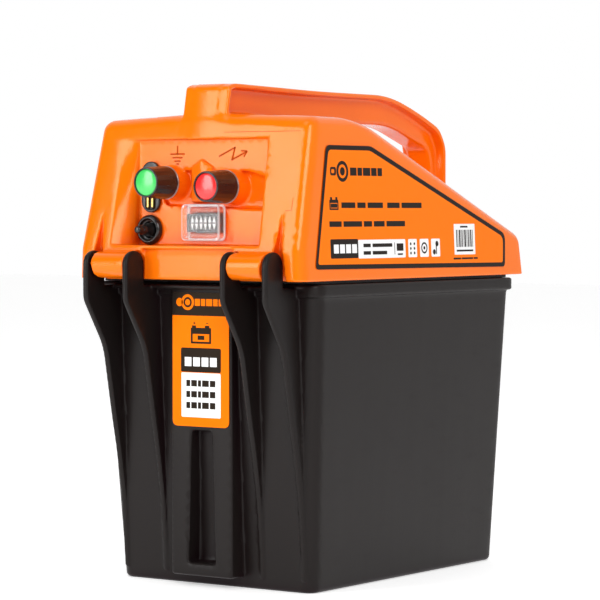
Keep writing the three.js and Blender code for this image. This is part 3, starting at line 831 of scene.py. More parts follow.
# --- battery box
@dataclass
class BatteryTub:
    """The black battery box with its hinge arms, spine and rim."""

    finishes: Finishes
    top: float = 180.0
    rim_top: float = 188.0
    rim_step: float = 2.5
    floor_half: float = 74.0
    mouth_half: float = 84.2
    floor_front: float = -99.5
    mouth_front: float = -109.0
    floor_rear: float = 111.5
    mouth_rear: float = 116.0
    wall: float = 2.5
    corner: float = 8.5
    spine_half: float = 23.4
    spine_base: float = 7.0
    slot_half: float = 10.4
    slot_base: float = 15.0
    slot_height: float = 82.0
    slot_narrowing: float = 2.5
    slot_depth: float = 12.0

    def __post_init__(self) -> None:
        """Lays the grid."""
        self.space = Space((-90.0, -145.0, -3.0), (90.0, 128.0, 211.0), 1.0)

    def tub(self, inset: float, floor: float, top: float) -> Field:
        """The tapered tub.

        Args:
            inset: how far it is set in from the outer wall.
            floor: its lower end.
            top: its upper end.

        Returns:
            Its field.
        """
        rise = self.space.z / self.top
        half = self.floor_half + (self.mouth_half - self.floor_half) * rise - inset
        front = self.floor_front + (self.mouth_front - self.floor_front) * rise + inset
        rear = self.floor_rear + (self.mouth_rear - self.floor_rear) * rise - inset
        middle, depth = (front + rear) / 2, (rear - front) / 2
        radius = self.corner - inset
        across = np.abs(self.space.x) - half + radius
        along = np.abs(self.space.y - middle) - depth + radius
        foot_radius = 3.0 if inset == 0.0 else 1.5
        return both(round_rectangle(across, along, radius), between(self.space.z, floor, top), foot_radius)

    def rim(self) -> Field:
        """The collar round the mouth, a little proud of the walls."""
        middle = (self.mouth_front + self.mouth_rear) / 2
        half_depth = (self.mouth_rear - self.mouth_front) / 2
        across = np.abs(self.space.x) - self.mouth_half - self.rim_step + self.corner
        along = np.abs(self.space.y - middle) - half_depth - self.rim_step + self.corner
        return both(round_rectangle(across, along, self.corner), between(self.space.z, self.top, self.rim_top), 1.0)

    def arms(self) -> Field:
        """The four hinge arms: tall fins that swell forwards and end in round ears."""
        outline = outline_distance(self.space.y, self.space.z, rounded_outline((
            (-97, 7), (-100.6, 7), (-102, 25), (-104.6, 54, 8), (-109.5, 83, 8), (-114.3, 105, 8), (-122.5, 147.5, 8),
            (-142, 177.5, 4), (-142, HINGE_Z), (-124, HINGE_Z), (-124, 186), (-107, 186), (-107, 150), (-100, 60),
        )))
        profile = np.minimum(outline, around_hinge(self.space, EAR_RADIUS))
        inner, outer = (between(np.abs(self.space.x), offset - FIN_HALF, offset + FIN_HALF) for offset in FIN_OFFSETS)
        return both(profile, np.minimum(inner, outer), 1.3)

    def spine(self) -> Field:
        """The raised block down the middle of the front, with its tapered slot."""
        block = self.space.block(self.spine_half, (SPINE_FRONT, -96.0), (self.spine_base, 186.0), (1.6, 1.2))
        half = self.slot_half - self.slot_narrowing * (self.space.z - self.slot_base) / self.slot_height
        slot = between(self.space.z, self.slot_base, self.slot_base + self.slot_height)
        slot = both(np.abs(self.space.x) - half, slot, 1.5)
        slot = both(slot, self.space.y - (SPINE_FRONT + self.slot_depth), 1.5)
        return without(block, slot, 1.0)

    def build(self) -> None:
        """Makes the box as one mesh."""
        body = self.tub(0.0, 0.0, self.rim_top - 1.0)
        body = either(body, self.rim(), 0.5)
        body = either(body, self.spine(), 0.7)
        shelf = self.space.block(66.0, (-118.0, -104.0), (184.0, 187.0), (0.5, 0.6))
        body = either(body, shelf, 0.8)
        body = either(body, self.arms(), 0.7)
        catch = self.space.block(12.0, (112.0, 123.2), (176.0, 182.0), (1.0, 1.0))
        body = either(body, catch, 1.5)
        body = without(body, self.tub(self.wall, self.wall + 0.5, 220.0), 0.8)
        bore = both(around_hinge(self.space, HINGE_BORE), between(np.abs(self.space.x), 36.3, 69.6))
        made = weighted_normals(self.space.mesh("battery_tub", without(body, bore), 0.02))
        self.finishes.place(made, "box", "black_shell", "battery_box")


# --- head
@dataclass
class EnergizerHousing:
    """The orange head shell with its panel recess, hinge barrels and carry handle."""

    finishes: Finishes
    rear: float = 129.5
    rear_lean: float = 0.14
    top: float = 292.7
    flat_end: float = -58.0
    slope: float = 0.392
    crown: float = 3.7
    crown_half: float = 81.7
    wall: float = 3.0
    web_half: float = 9.5
    flange_half: float = 17.0
    flange_thickness: float = 3.0
    barrel_radius: float = 8.0
    ear_gap: float = 0.35
    valley_top: float = 232.0
    valley_slope: float = 0.13
    valley_depth: float = 0.22
    panel_low: float = 211.0
    panel_high: float = 276.3
    pocket_depth: float = 3.2
    collar_front: float = -117.8
    stud_bore: float = 3.4
    switch_bore: float = 6.0
    rear_limit: float = 141.9
    top_limit: float = 310.45

    def __post_init__(self) -> None:
        """Lays the grid."""
        self.space = Space((-90.0, -145.0, 187.0), (90.0, 145.0, 314.0), 0.85)

    def block(self, inset: float) -> Field:
        """The head's outer form without its underside.

        Args:
            inset: how far it is set in from the outer faces.

        Returns:
            Its field.
        """
        x = np.abs(self.space.x)
        side = x - HEAD_HALF + SIDE_DRAFT * (self.space.z - HEAD_BOTTOM) + inset
        lean = LEAN - BOW * (1.0 - x / HEAD_HALF)
        front = (HEAD_FRONT + np.maximum(self.space.z - LEAN_START, 0.0) * lean - self.space.y) / 1.028 + inset
        rear = self.space.y - self.rear + self.rear_lean * np.maximum(self.space.z - HEAD_BOTTOM, 0.0) + inset
        height = self.top - self.crown * x / self.crown_half
        flat = self.space.z - height + inset
        fall = (self.space.z - height + self.slope * (self.space.y - self.flat_end)) * 0.931 + inset
        return both(both(both(side, front, 7.0), rear, 4.0), both(flat, fall, 8.0), 6.5)

    def handle(self) -> Field:
        """The carry handle: a thin web with a wide flange along its outer edge."""
        outer = outline_distance(self.space.y, self.space.z, rounded_outline((
            (-122, 240), (-112.6, 279.5), (-107.3, 307.6, 3), (-101.5, 310.6, 4), (-8, 308.6, 20), (72, 308.6, 18),
            (109, 298, 18), (134, 288, 6), (142, 276, 6), (142, 194), (100, 194), (60, 225), (-60, 270),
        ), 24))
        hole = outline_distance(self.space.y, self.space.z, rounded_outline((
            (-46, 289, 12), (84, 289, 16), (130, 274.5, 6), (134.5, 262, 6), (134.5, 205), (60, 215), (-62, 270),
        ), 24))
        x = np.abs(self.space.x)
        fold = (-112.6 + 0.1886 * (self.space.z - 279.5) + 0.07 * x - self.space.y) * 0.98
        outer = both(outer, fold, 0.3)
        web = without(both(outer, x - self.web_half, 1.0), hole, 3.0)
        flange = both(both(outer, x - self.flange_half, 1.2), -(outer + self.flange_thickness), 0.8)
        latch_room = both(both(x - 40.0, between(self.space.y, 100.0, 160.0)), self.space.z - 219.0)
        flange = without(flange, latch_room, 1.0)
        flange = without(flange, both(between(self.space.y, PANEL_INNER_Y, 124.0), self.space.z - 284.0))
        return either(web, flange, 2.0)

    def barrels(self) -> Field:
        """The two hinge barrels with the webs that hold them."""
        ends = between(np.abs(self.space.x), 39.6, 66.3)
        web = between(self.space.z, HINGE_Z - 6.0, HINGE_Z + 8.0)
        web = both(between(self.space.y, HINGE_Y, HEAD_FRONT + 3.0), web)
        return both(either(around_hinge(self.space, self.barrel_radius), web, 1.0), ends, 0.5)

    def ear_rooms(self) -> Field:
        """Clearance in the head for the ears of the hinge arms."""
        x = np.abs(self.space.x)
        inner, outer = (np.abs(x - offset) for offset in FIN_OFFSETS)
        near = np.minimum(inner, outer) - FIN_HALF - self.ear_gap
        below = both(between(self.space.y, HINGE_Y - 20.0, HINGE_Y + EAR_RADIUS + 1.0), self.space.z - HINGE_Z)
        return both(near, either(around_hinge(self.space, EAR_RADIUS + 1.0), below))

    def face_y(self) -> Field:
        """Where the front face is at each height, at its outer edges."""
        return HEAD_FRONT + LEAN * np.maximum(self.space.z - LEAN_START, 0.0)

    def valleys(self) -> Field:
        """The tapering notches above the outer hinge arms."""
        fall = self.valley_top - self.space.z
        width = (np.abs(np.abs(self.space.x) - 68.8) - self.valley_slope * fall) * 0.99
        return both(width, self.space.y - self.face_y() - self.valley_depth * fall)

    def recess(self) -> Field:
        """The sunk control panel, with its side walls flared and the left one curved."""
        depth = np.maximum(PANEL_Y - self.space.y, 0.0)
        right = (self.space.x - 50.3 - 0.22 * depth) * 0.97
        total = np.maximum(PANEL_Y - self.face_y(), 2.0)
        share = np.clip(depth / total, 0.0, 1.4)
        steepness = 22.0 * share ** 1.2 / total
        left = (-self.space.x - 50.5 - 10.0 * share ** 2.2) / np.sqrt(1.0 + steepness ** 2)
        face = both(both(left, right), self.space.y - PANEL_Y, 0.5)
        return both(face, between(self.space.z, self.panel_low, self.panel_high), 0.5)

    def pockets(self) -> Field:
        """The shallow pocket behind the knobs."""
        shape = outline_distance(self.space.x, self.space.z, rounded_outline((
            (-31, 235.5, 5), (51, 233, 1), (51, 251.5, 1), (33, 256.5, 5), (-31, 257, 5),
        )))
        return both(shape, between(self.space.y, -125.0, PANEL_Y + self.pocket_depth), 1.0)

    def rib(self) -> Field:
        """The gabled rib that parts the two terminals, folded along its middle."""
        gable = outline_distance(self.space.x, self.space.z, rounded_outline(
            ((-8.5, 237.5), (8.5, 237.5), (8.5, 258.8), (0, 263.6), (-8.5, 258.8)),
        ))
        return both(gable, between(self.space.y - 0.14 * np.abs(self.space.x), PANEL_Y - 3.0, PANEL_Y + 4.0), 0.6)

    def collar(self, x: float, z: float) -> Field:
        """The raised collar that one terminal stud comes through."""
        cone = (away(self.space.x, self.space.z, x, z) - 8.5 - 0.2 * (self.space.y - self.collar_front)) * 0.97
        return both(cone, between(self.space.y, self.collar_front, PANEL_INNER_Y - 1.0), 0.6)

    def panel_holes(self) -> Field:
        """Bores for the studs and the switch, and windows for the socket and the display."""
        holes = away(self.space.x, self.space.z, SWITCH_X, SWITCH_Z) - self.switch_bore
        for x, z in TERMINALS.values():
            holes = either(holes, away(self.space.x, self.space.z, x, z) - self.stud_bore)
        display = both(between(self.space.x, -9.2, 14.8), between(self.space.z, 218.8, 230.8))
        socket = both(between(self.space.x, -44.7, -35.7), between(self.space.z, 233.1, 242.1))
        return both(either(holes, either(display, socket)), between(self.space.y, -125.0, -95.0))

    def room(self) -> Field:
        """The space inside the head, less the thick wall behind the panel and the apron."""
        panel = both(np.abs(self.space.x) - 64.0, between(self.space.z, 207.0, 282.0))
        panel = both(panel, self.space.y - PANEL_INNER_Y)
        apron = both(np.abs(self.space.x) - 78.0, both(self.space.y + 117.0, self.space.z - 232.0))
        return without(self.block(self.wall), either(panel, apron))

    def build(self) -> None:
        """Makes the housing as one mesh."""
        body = both(self.block(0.0), HEAD_BOTTOM - self.space.z, 0.6)
        body = either(body, self.handle(), 2.0)
        body = either(body, self.barrels(), 1.0)
        body = without(body, self.room(), 0.5)
        body = without(body, self.recess(), 0.4)
        body = without(body, self.pockets(), 0.5)
        body = either(body, self.rib(), 0.4)
        body = without(body, self.valleys(), 0.3)
        apron_step = both(np.abs(self.space.x) - 35.0, both(self.space.y + 124.5, self.space.z - 209.0), 1.0)
        body = without(body, apron_step, 0.6)
        body = without(body, self.ear_rooms(), 0.5)
        for x, z in TERMINALS.values():
            body = either(body, self.collar(x, z), 1.2)
        body = without(body, self.panel_holes(), 0.3)
        body = without(body, away(self.space.y, self.space.z, 133.0, 204.0) - 2.4)
        body = without(body, both(around_hinge(self.space, HINGE_BORE), np.abs(self.space.x) - 75.0))
        body = both(body, both(self.space.y - self.rear_limit, self.space.z - self.top_limit), 0.3)
        made = weighted_normals(self.space.mesh("housing_shell", body, 0.02))
        self.finishes.place(made, "head", "orange_shell", "energizer_housing")


# --- terminals
@dataclass
class Terminal:
    """One screw terminal: fluted black knob, coloured cap and washer."""

    finishes: Finishes
    name: str
    cap_slot: str
    base: float = -119.4
    length: float = 19.3
    base_radius: float = 10.25
    face_radius: float = 9.3
    rim: float = 1.0
    bore_radius: float = 3.3
    bore_depth: float = 15.0
    cap_radius: float = 8.1
    cap_crown: float = 1.45
    flutes: int = 20
    flute_depth: float = 0.16

    def flute(self, angle: float, height: float) -> float:
        """Depth of the shallow grip flutes, which fade out at both ends.

        Args:
            angle: place round the knob, in radians.
            height: place along it, in mm.

        Returns:
            The change of radius, in mm.
        """
        fade = min(1.0, max(0.0, (height - 3.0) / 1.5), max(0.0, (self.length - 1.6 - height) / 1.5))
        return -self.flute_depth * fade * (0.5 + 0.5 * math.cos(self.flutes * angle))

    def build(self) -> None:
        """Makes the knob, its cap and its washer."""
        x, z = TERMINALS[self.name]
        well = self.length - 2.0 * self.rim
        taper = self.base_radius - self.face_radius
        middles = [(self.base_radius - taper * t, 3.0 + (self.length - 4.4) * t) for t in (0.0, 0.12, 0.5, 0.9, 1.0)]
        outline = rounded_outline((
            (self.bore_radius, 0.0), (self.base_radius, 0.0, 0.7), *middles, (self.face_radius, self.length, 0.7),
            (self.face_radius - self.rim, self.length, 0.25), (8.25, well), (0.0, well), (0.0, self.bore_depth),
            (self.bore_radius, self.bore_depth),
        ), 6)
        knob = turned(f"{self.name}_grip", outline, (x, self.base, z), segments=160, flute=self.flute)
        self.finishes.place(knob, f"{self.name}_screw", "satin_black", f"{self.name}_knob")
        dome = [(self.cap_radius * math.sin(t), 0.9 + self.cap_crown * math.cos(t))
                for t in np.linspace(0.0, math.pi / 2, 14)]
        profile = np.array([(0.0, -0.2), (self.cap_radius, -0.2), *dome[::-1]])
        cap = turned(f"{self.name}_button", profile, (x, self.base - self.length + 1.75, z))
        self.finishes.place(cap, f"{self.name}_screw", self.cap_slot, f"{self.name}_knob_cap")
        ring = rounded_outline(((3.6, 0.0), (10.35, 0.0, 0.25), (10.35, 1.0, 0.35), (3.6, 1.0)), 4)
        washer = turned(f"{self.name}_ring", ring, (x, self.base + 1.3, z), segments=96)
        self.finishes.place(washer, f"{self.name}_slider", "steel", f"{self.name}_washer")


# --- control panel
@dataclass
class ControlPanel:
    """Socket, switch, indicator window and the raised symbols beside the terminals."""

    finishes: Finishes
    socket_x: float = -40.2
    socket_z: float = 247.1
    plate_radius: float = 7.15
    plate_reach: float = 8.7
    window_x: float = 2.8
    window_z: float = 225.1
    window_half: tuple[float, float] = (14.7, 11.4)
    window_wall: float = 1.7
    strip_front: float = -115.8
    cells: int = 6
    cell_pitch: float = 3.35
    cell_width: float = 2.3

    def symbols(self) -> None:
        """The earth sign and the pulse arrow, in a darker orange that paints the shade in their moulded strokes."""
        strokes = [stroke(-20.3, 267.0, -20.3, 272.4, 0.8)]
        strokes += [stroke(*line, 0.9) for line in (
            (-25.8, 267.4, -14.8, 267.4), (-24.2, 265.1, -16.4, 265.1), (-22.6, 263.0, -18.0, 263.0),
            (-21.2, 261.2, -19.4, 261.2), (11.8, 265.6, 24.2, 271.0), (24.0, 271.2, 21.6, 263.2),
            (21.4, 263.4, 32.6, 268.2), (33.2, 268.6, 28.6, 268.9), (33.2, 268.6, 30.6, 265.2),
        )]
        made = stamped("panel_symbols", strokes, lambda u, v, h: (u, PANEL_Y - h, v), -0.3, 0.28)
        self.finishes.place(made, "head", "orange_shell", material=self.finishes.marks)

    def seams(self) -> None:
        """Fine mould lines on the leaning front face, in a darker orange that paints the shade along them."""
        def face(u: float, v: float, h: float) -> Point:
            """Puts a point on the front face."""
            lean = LEAN - BOW * (1.0 - abs(u) / HEAD_HALF)
            return (u, HEAD_FRONT + max(v - LEAN_START, 0.0) * lean - h, v)

        lines = [stroke(a, 280.2, a + 5.2, 280.2, 0.3) for a in np.arange(17.4, 70.0, 5.1)]
        lines += [stroke(70.4, 232.4, 75.0, 232.4, 0.3), stroke(75.0, 232.4, 75.0, 240.0, 0.3)]
        made = stamped("front_seams", lines, face, -0.3, 0.05)
        self.finishes.place(made, "head", "orange_shell", material=self.finishes.marks)

    def socket(self) -> None:
        """The oval inlet plate with its two pins in slots."""
        space = Space((-52.0, -114.0, 229.0), (-29.0, -97.0, 265.0), 0.4)
        x, z = space.x - self.socket_x, space.z - self.socket_z
        oval = away(x, np.maximum(np.abs(z) - self.plate_reach, 0.0)) - self.plate_radius
        plate = both(oval, between(space.y, -112.2, -110.3), 0.7)
        well = both(both(np.abs(x) - 3.6, between(z, -13.8, -5.4), 1.0), space.y + 111.6)
        plate = without(plate, well, 0.3)
        carrier = both(both(np.abs(x) - 4.0, between(z, -13.5, -5.5)), between(space.y, -111.3, -98.0), 0.3)
        slots = both(both(np.abs(np.abs(x) - 1.8) - 1.1, between(z, -13.0, -6.0)), space.y + 101.0)
        face = space.mesh("socket_face", without(either(plate, carrier), slots, 0.2), 0.01)
        self.finishes.place(weighted_normals(face), "head", "satin_black", "socket_plate")
        for side in ("left", "right"):
            softened(self.finishes, f"socket_pin_{side}", "head", "brass", 0.3)

    def switch(self) -> None:
        """The bezel with its rubber boot and the thick lever."""
        centre = (SWITCH_X, PANEL_Y, SWITCH_Z)
        outline = rounded_outline((
            (5.2, -1.5), (5.6, -1.5), (5.6, 0.3), (9.3, 0.3, 0.3), (9.3, 2.2, 1.0), (8.2, 3.8, 1.0), (7.0, 3.8, 0.6),
            (6.3, 2.0, 0.5), (5.2, 1.7, 0.3),
        ), 5)
        bezel = turned("switch_ring", outline, centre, segments=80)
        self.finishes.place(bezel, "head", "satin_black", "switch_bezel")
        boot = rounded_outline((
            (0.0, -5.0), (1.3, -5.0), (1.3, 0.9), (4.4, 1.0, 0.4), (4.3, 2.4, 0.7), (3.4, 4.2, 1.0), (3.1, 9.4, 0.6),
            (2.4, 10.4, 0.5), (2.5, 13.2, 0.8), (1.9, 14.4, 0.9), (0.0, 14.6),
        ), 6)
        lever = turned("toggle_boot", boot, centre, segments=64)
        self.finishes.place(lever, "switch", "satin_black", "switch_lever")

    def window(self) -> None:
        """The clear cover with the indicator strip right behind its front."""
        space = Space((-14.0, -119.5, 211.5), (20.0, -108.0, 239.0), 0.4)
        across = np.abs(space.x - self.window_x) - self.window_half[0]
        up = np.abs(space.z - self.window_z) - self.window_half[1]
        outer = both(both(across, up, 3.2), between(space.y, -117.9, -110.3), 1.0)
        inner = both(across + self.window_wall, up + self.window_wall, 2.2)
        inner = both(inner, between(space.y, -116.3, -105.0), 1.0)
        lens = weighted_normals(space.mesh("window_cover", without(outer, inner), 0.0))
        self.finishes.place(lens, "head", "clear_plastic", "window_lens")

        def front(u: float, v: float, h: float) -> Point:
            """Puts a point on the front of the strip."""
            return (u, self.strip_front - h, v)

        strip = stamped("indicator_strip", [bar(-8.7, 219.3, 14.3, 230.3, 0.8)], front, -16.8, 0.0)
        self.finishes.place(strip, "head", "satin_black", "display_module")
        cells = []
        for left in (self.cell_pitch * index - 5.6 for index in range(self.cells)):
            right, middle = left + self.cell_width, left + self.cell_width / 2
            for foot, tip in ((225.2, 229.0), (224.4, 220.6)):
                cells.append(np.array(((left, foot), (right, foot), (middle, tip))))
        marks = stamped("indicator_cells", cells, front, -0.1, 0.1)
        self.finishes.place(marks, "head", "label_film", material=self.finishes.inks[Ink.WHITE])

    def build(self) -> None:
        """Makes everything on the panel but the terminals."""
        for part in (self.symbols, self.seams, self.socket, self.switch, self.window):
            part()


# --- labels
@dataclass
class Label:
    """A printed label made of thin layers, with plain bars where words would be."""

    name: str
    body: str
    place: Placer
    layers: list[tuple[Ink, list[Field]]]
    rise: float = 0.012

    def build(self, finishes: Finishes) -> None:
        """Makes one thin object per layer, each a little above the last.

        Args:
            finishes: the object's materials.
        """
        for level, (ink, shapes) in enumerate(self.layers, start=1):
            made = stamped(f"{self.name}_layer_{level}", shapes, self.place, -0.02, self.rise * level)
            finishes.place(made, self.body, "label_film", material=finishes.inks[ink])


def bar_code() -> list[Field]:
    """Upright bars of made-up widths, as (width, gap) pairs from left to right."""
    lines, u = [], 45.0
    for width, gap in ((1.1, 0.8), (0.5, 0.9), (1.6, 0.6), (0.6, 0.6), (1.0, 1.0), (0.5, 0.6), (1.8, 0.8), (0.6, 0.9),
                       (1.2, 0.6), (0.5, 0.7), (1.5, 0.9), (0.7, 0.6)):
        lines.append(bar(u, 209.0, u + width, 220.0))
        u += width + gap
    return lines


def side_label(side: int) -> Label:
    """The label on one side of the head.

    Args:
        side: 1 for the right side, -1 for the left.

    Returns:
        The label.
    """
    def place(u: float, v: float, h: float) -> Point:
        """Puts a label point on the drafted side wall, over the label's plate."""
        return (side * (HEAD_HALF - SIDE_DRAFT * (v - HEAD_BOTTOM) + 0.5 + h), u, v)

    frame_out = ((-98.2, 271.9, 4), (-50, 272, 3), (105.7, 217, 5), (104.2, 195.5, 3), (-113.6, 197.3, 3))
    frame_in = ((-95.9, 269.1, 3), (-51, 269.2, 3), (102.8, 215.1, 4), (101.6, 198.3, 2), (-110.8, 200.1, 2))
    emblem = [disc(-81.9, 256.2, 6.4), bar(-95, 253.6, -88.6, 258.8, 1.6)]
    emblem_light = [disc(-81.9, 256.2, 4.2), bar(-93.6, 255.0, -90.6, 257.4, 0.8)]
    icon = [bar(-96.9, 232.8, -87.3, 239.0, 0.6), bar(-96.0, 239.0, -93.8, 240.6), bar(-90.4, 239.0, -88.2, 240.6)]
    rows = bars(-84.2, 234.0, 237.4, (15, 9, 17), 2.2) + bars(-34.0, 234.0, 237.4, (14, 23), 2.2)
    rows += bars(-97.6, 222.6, 226.0, (13, 20, 9, 12, 21), 2.0)
    boxes = [bar(a, 203.2, b, 214.6, 1.0) for a, b in ((-67.6, -15.1), (-11.8, -1.9), (1.6, 11.7), (14.8, 25.1))]
    dark_box = [bar(-97.3, 203.5, -67.6, 215.2, 1.0)]
    tail = bars(41.0, 201.0, 202.2, (9, 14, 5), 0.7)
    black = [disc(-81.9, 256.2, 2.6), *bars(-73.6, 253.7, 258.6, (7, 5, 8, 6, 5), 1.0)]
    black += [bar(-95.6, 234.2, -88.6, 236.6), bar(-27.6, 205.2, -27.0, 212.6)]
    black += bars(-62, 210.0, 212.2, (8, 22), 2) + bars(-62, 205.4, 207.6, (8, 16), 2)
    black += [bar(-25.0, 207.4, -17.4, 212.0, 0.4), bar(-24.0, 204.8, -18.4, 205.8)]
    black += [disc(-9.0 + 4.2 * i, 211.6 - 2.9 * j, 0.9, 12) for i in range(2) for j in range(3)]
    black += [disc(6.65, 208.9, 3.6, 24), disc(18.2, 206.2, 1.7, 16), bar(20.2, 204.8, 21.2, 211.0)]
    black += [disc(21.6, 211.4, 1.8, 16), *bar_code(), bar(50.0, 221.4, 59.0, 222.5), bar(45.0, 206.0, 65.0, 207.2)]
    light = [bar(42.4, 204.1, 67.6, 223.8, 0.4), *bars(-93.8, 206.6, 212.0, (5.2,) * 4, 1.3)]
    return Label(f"{'right' if side > 0 else 'left'}_label", "head", place, [
        (Ink.BLACK, [rounded_outline(frame_out)]), (Ink.ORANGE, [rounded_outline(frame_in)]),
        (Ink.BLACK, emblem + icon + rows + dark_box + tail),
        (Ink.ORANGE, emblem_light + [bar(-95.8, 233.8, -88.4, 237.0)]), (Ink.WHITE, boxes + light),
        (Ink.BLACK, black), (Ink.WHITE, [disc(6.65, 208.9, 2.5, 24)]), (Ink.BLACK, [disc(6.65, 208.9, 1.1, 16)]),
    ])


def front_label() -> Label:
    """The label on the spine of the box."""
    base = rounded_outline(((-21.7, 99.5, 4), (21.7, 99.5, 4), (21.7, 182, 1), (-21.7, 182, 1)))
    top = rounded_outline(((-21.7, 167.8), (21.7, 167.8), (21.7, 182, 1), (-21.7, 182, 1)))
    battery = [
        bar(-7.5, 150.6, 8.2, 160.4, 0.6), bar(-6.6, 160.4, -3.4, 161.8), bar(3.4, 160.4, 6.8, 161.8),
        bar(-5.6, 163.0, -3.8, 163.5), bar(-4.95, 162.4, -4.45, 164.1), bar(4.2, 163.0, 6.0, 163.5),
    ]
    emblem = [disc(-9.9, 176.0, 4.9), disc(-16.2, 176.0, 2.6)]
    emblem += bars(-4.4, 173.9, 178.2, (4.0, 3.2, 4.6, 3.4, 3.0), 0.8)
    figures = bars(-12.2, 136.6, 142.2, (5.2,) * 4, 1.3)
    rows = [bars(-11.0, v, v + 3.9, (3.0, 4.4, 2.4, 5.2, 4.2), 0.8) for v in (124.2, 117.4, 110.6)]
    plate = SPINE_FRONT - 0.5
    return Label("spine_label", "box", lambda u, v, h: (u, plate - h, v), [
        (Ink.ORANGE, [base]), (Ink.BLACK, [top, bar(-15.2, 133.0, 15.7, 148.0, 1.2)] + battery),
        (Ink.ORANGE, emblem + [bar(-6.0, 151.9, 6.7, 156.6)]),
        (Ink.WHITE, [bar(-14.8, 105.2, 15.4, 132.6, 0.8)] + figures),
        (Ink.BLACK, [disc(-9.9, 176.0, 3.2), bar(-2.2, 153.0, 3.0, 155.6, 0.3)] + sum(rows, [])),
        (Ink.ORANGE, [disc(-9.9, 176.0, 1.9)]),
    ])


# --- screws
@dataclass
class ScrewSet:
    """Equal screws set out by one node group."""

    finishes: Finishes
    name: str
    body: str
    places: Sequence[Point]
    stands_for: Sequence[str]
    scale: float
    tilt: float
    seed: int
    head_radius: float = 3.55
    head_height: float = 2.2
    shank_radius: float = 1.6
    shank_end: float = 12.6
    thread_depth: float = 0.14
    thread_pitch: float = 1.25

    def screw(self) -> Piece:
        """One pan-head screw with a cross recess, head down."""
        space = Space((-4.2, -4.2, -2.6), (4.2, 4.2, 13.2), 0.2)
        x, y, z = np.abs(space.x), np.abs(space.y), space.z
        out = away(space.x, space.y)
        head = both(out - self.head_radius, between(z, -self.head_height, -0.05), 1.0)
        cross = either(both(x - 0.45, y - 2.1), both(y - 0.45, x - 2.1))
        head = without(head, both(cross, z + 0.9), 0.15)
        thread = self.thread_depth * np.abs(np.mod(z / self.thread_pitch, 1.0) - 0.5) * 2.0
        tip = (out + z - (self.shank_end + 0.8)) * 0.7
        shank = both(both(out - self.shank_radius + thread, between(z, -0.5, self.shank_end)), tip)
        return space.mesh(f"{self.name}_pattern", either(head, shank), 0.01)

    def group(self) -> tuple[bpy.types.NodeTree, dict[str, str]]:
        """Builds the node group that sets screws out on points.

        Returns:
            The group, and its input identifiers by name.
        """
        group = bpy.data.node_groups.new(f"{self.name}_layout", "GeometryNodeTree")
        face = group.interface
        face.new_socket("Geometry", in_out="OUTPUT", socket_type="NodeSocketGeometry")
        kinds = {
            "Points": "Geometry", "Screw": "Object", "Scale": "Float", "Tilt": "Float", "Seed": "Int",
            "Finish": "Material",
        }
        names = {label: face.new_socket(label, in_out="INPUT", socket_type=f"NodeSocket{kind}").identifier
                 for label, kind in kinds.items()}
        tree = Tree(group)
        given = tree.node("NodeGroupInput")
        taken = {label: Wire(tree, given.outputs[label]) for label in kinds}
        piece = tree.wire("GeometryNodeObjectInfo", {"Object": taken["Screw"]}, "Geometry")
        limits = {2: 0.0, 3: 6.283, "Seed": taken["Seed"]}
        spin = tree.wire("FunctionNodeRandomValue", limits, 1, data_type="FLOAT")
        turn = tree.wire("ShaderNodeCombineXYZ", {"X": taken["Tilt"], "Z": spin})
        set_out = tree.wire("GeometryNodeInstanceOnPoints", {
            "Points": taken["Points"], "Instance": piece, "Rotation": turn, "Scale": taken["Scale"],
        })
        real = tree.wire("GeometryNodeRealizeInstances", {"Geometry": set_out})
        done = tree.wire("GeometryNodeSetMaterial", {"Geometry": real, "Material": taken["Finish"]})
        tree.node("NodeGroupOutput", {"Geometry": done})
        return group, names

    def build(self) -> None:
        """Sets the screws out as one object."""
        pattern = self.screw()
        holder = add_mesh(f"{self.name}_points", self.places, [])
        group, names = self.group()
        modifier = holder.modifiers.new("layout", "NODES")
        modifier.node_group = group
        chosen = {
            "Screw": pattern, "Scale": self.scale, "Tilt": self.tilt, "Seed": self.seed,
            "Finish": self.finishes.by_slot["steel"],
        }
        for label, value in chosen.items():
            modifier[names[label]] = value
        holder.update_tag()
        bpy.context.view_layer.update()
        graph = bpy.context.evaluated_depsgraph_get()
        made = added(self.name, bpy.data.meshes.new_from_object(holder.evaluated_get(graph)))
        holder.modifiers.remove(modifier)
        for spent in (holder, pattern):
            bpy.data.objects.remove(spent)
        set_smooth(made.data)
        self.finishes.place(weighted_normals(made), self.body, "steel", *self.stands_for)


# --- camera and studio
def make_camera() -> None:
    """Sets the camera at the long-lens three-quarter view."""
    data = bpy.data.cameras.new("camera")
    data.lens = 166.93
    data.sensor_width = 36.0
    data.clip_end = 20.0
    camera = added("camera", data)
    camera.location = (1.0367, -1.4724, 0.2336)
    camera.rotation_euler = (math.radians(88.12), 0.0, math.radians(35.29))
    bpy.context.scene.camera = camera


@dataclass(frozen=True)
class SoftBox:
    """One rectangular area light aimed at the middle of the object."""

    name: str
    place: Point
    size: tuple[float, float]
    power: float
    target: Point = (0.0, 0.0, 0.17)

    def hang(self) -> None:
        """Adds the light to the scene."""
        data = bpy.data.lights.new(self.name, "AREA")
        data.shape = "RECTANGLE"
        data.size, data.size_y = self.size
        data.energy = self.power
        light = added(self.name, data)
        light.location = self.place
        light.rotation_euler = (Vector(self.target) - Vector(self.place)).to_track_quat("-Z", "Y").to_euler()


SOFT_BOXES = (
    SoftBox("key", (1.3, -1.6, 1.2), (1.0, 1.0), 24.0),
    SoftBox("facet", (-0.94, -1.85, 0.66), (0.8, 1.1), 19.0),
    SoftBox("top", (-0.3, -1.2, 2.0), (1.2, 1.2), 7.0),
)
FLOOR_REACH = 6000.0


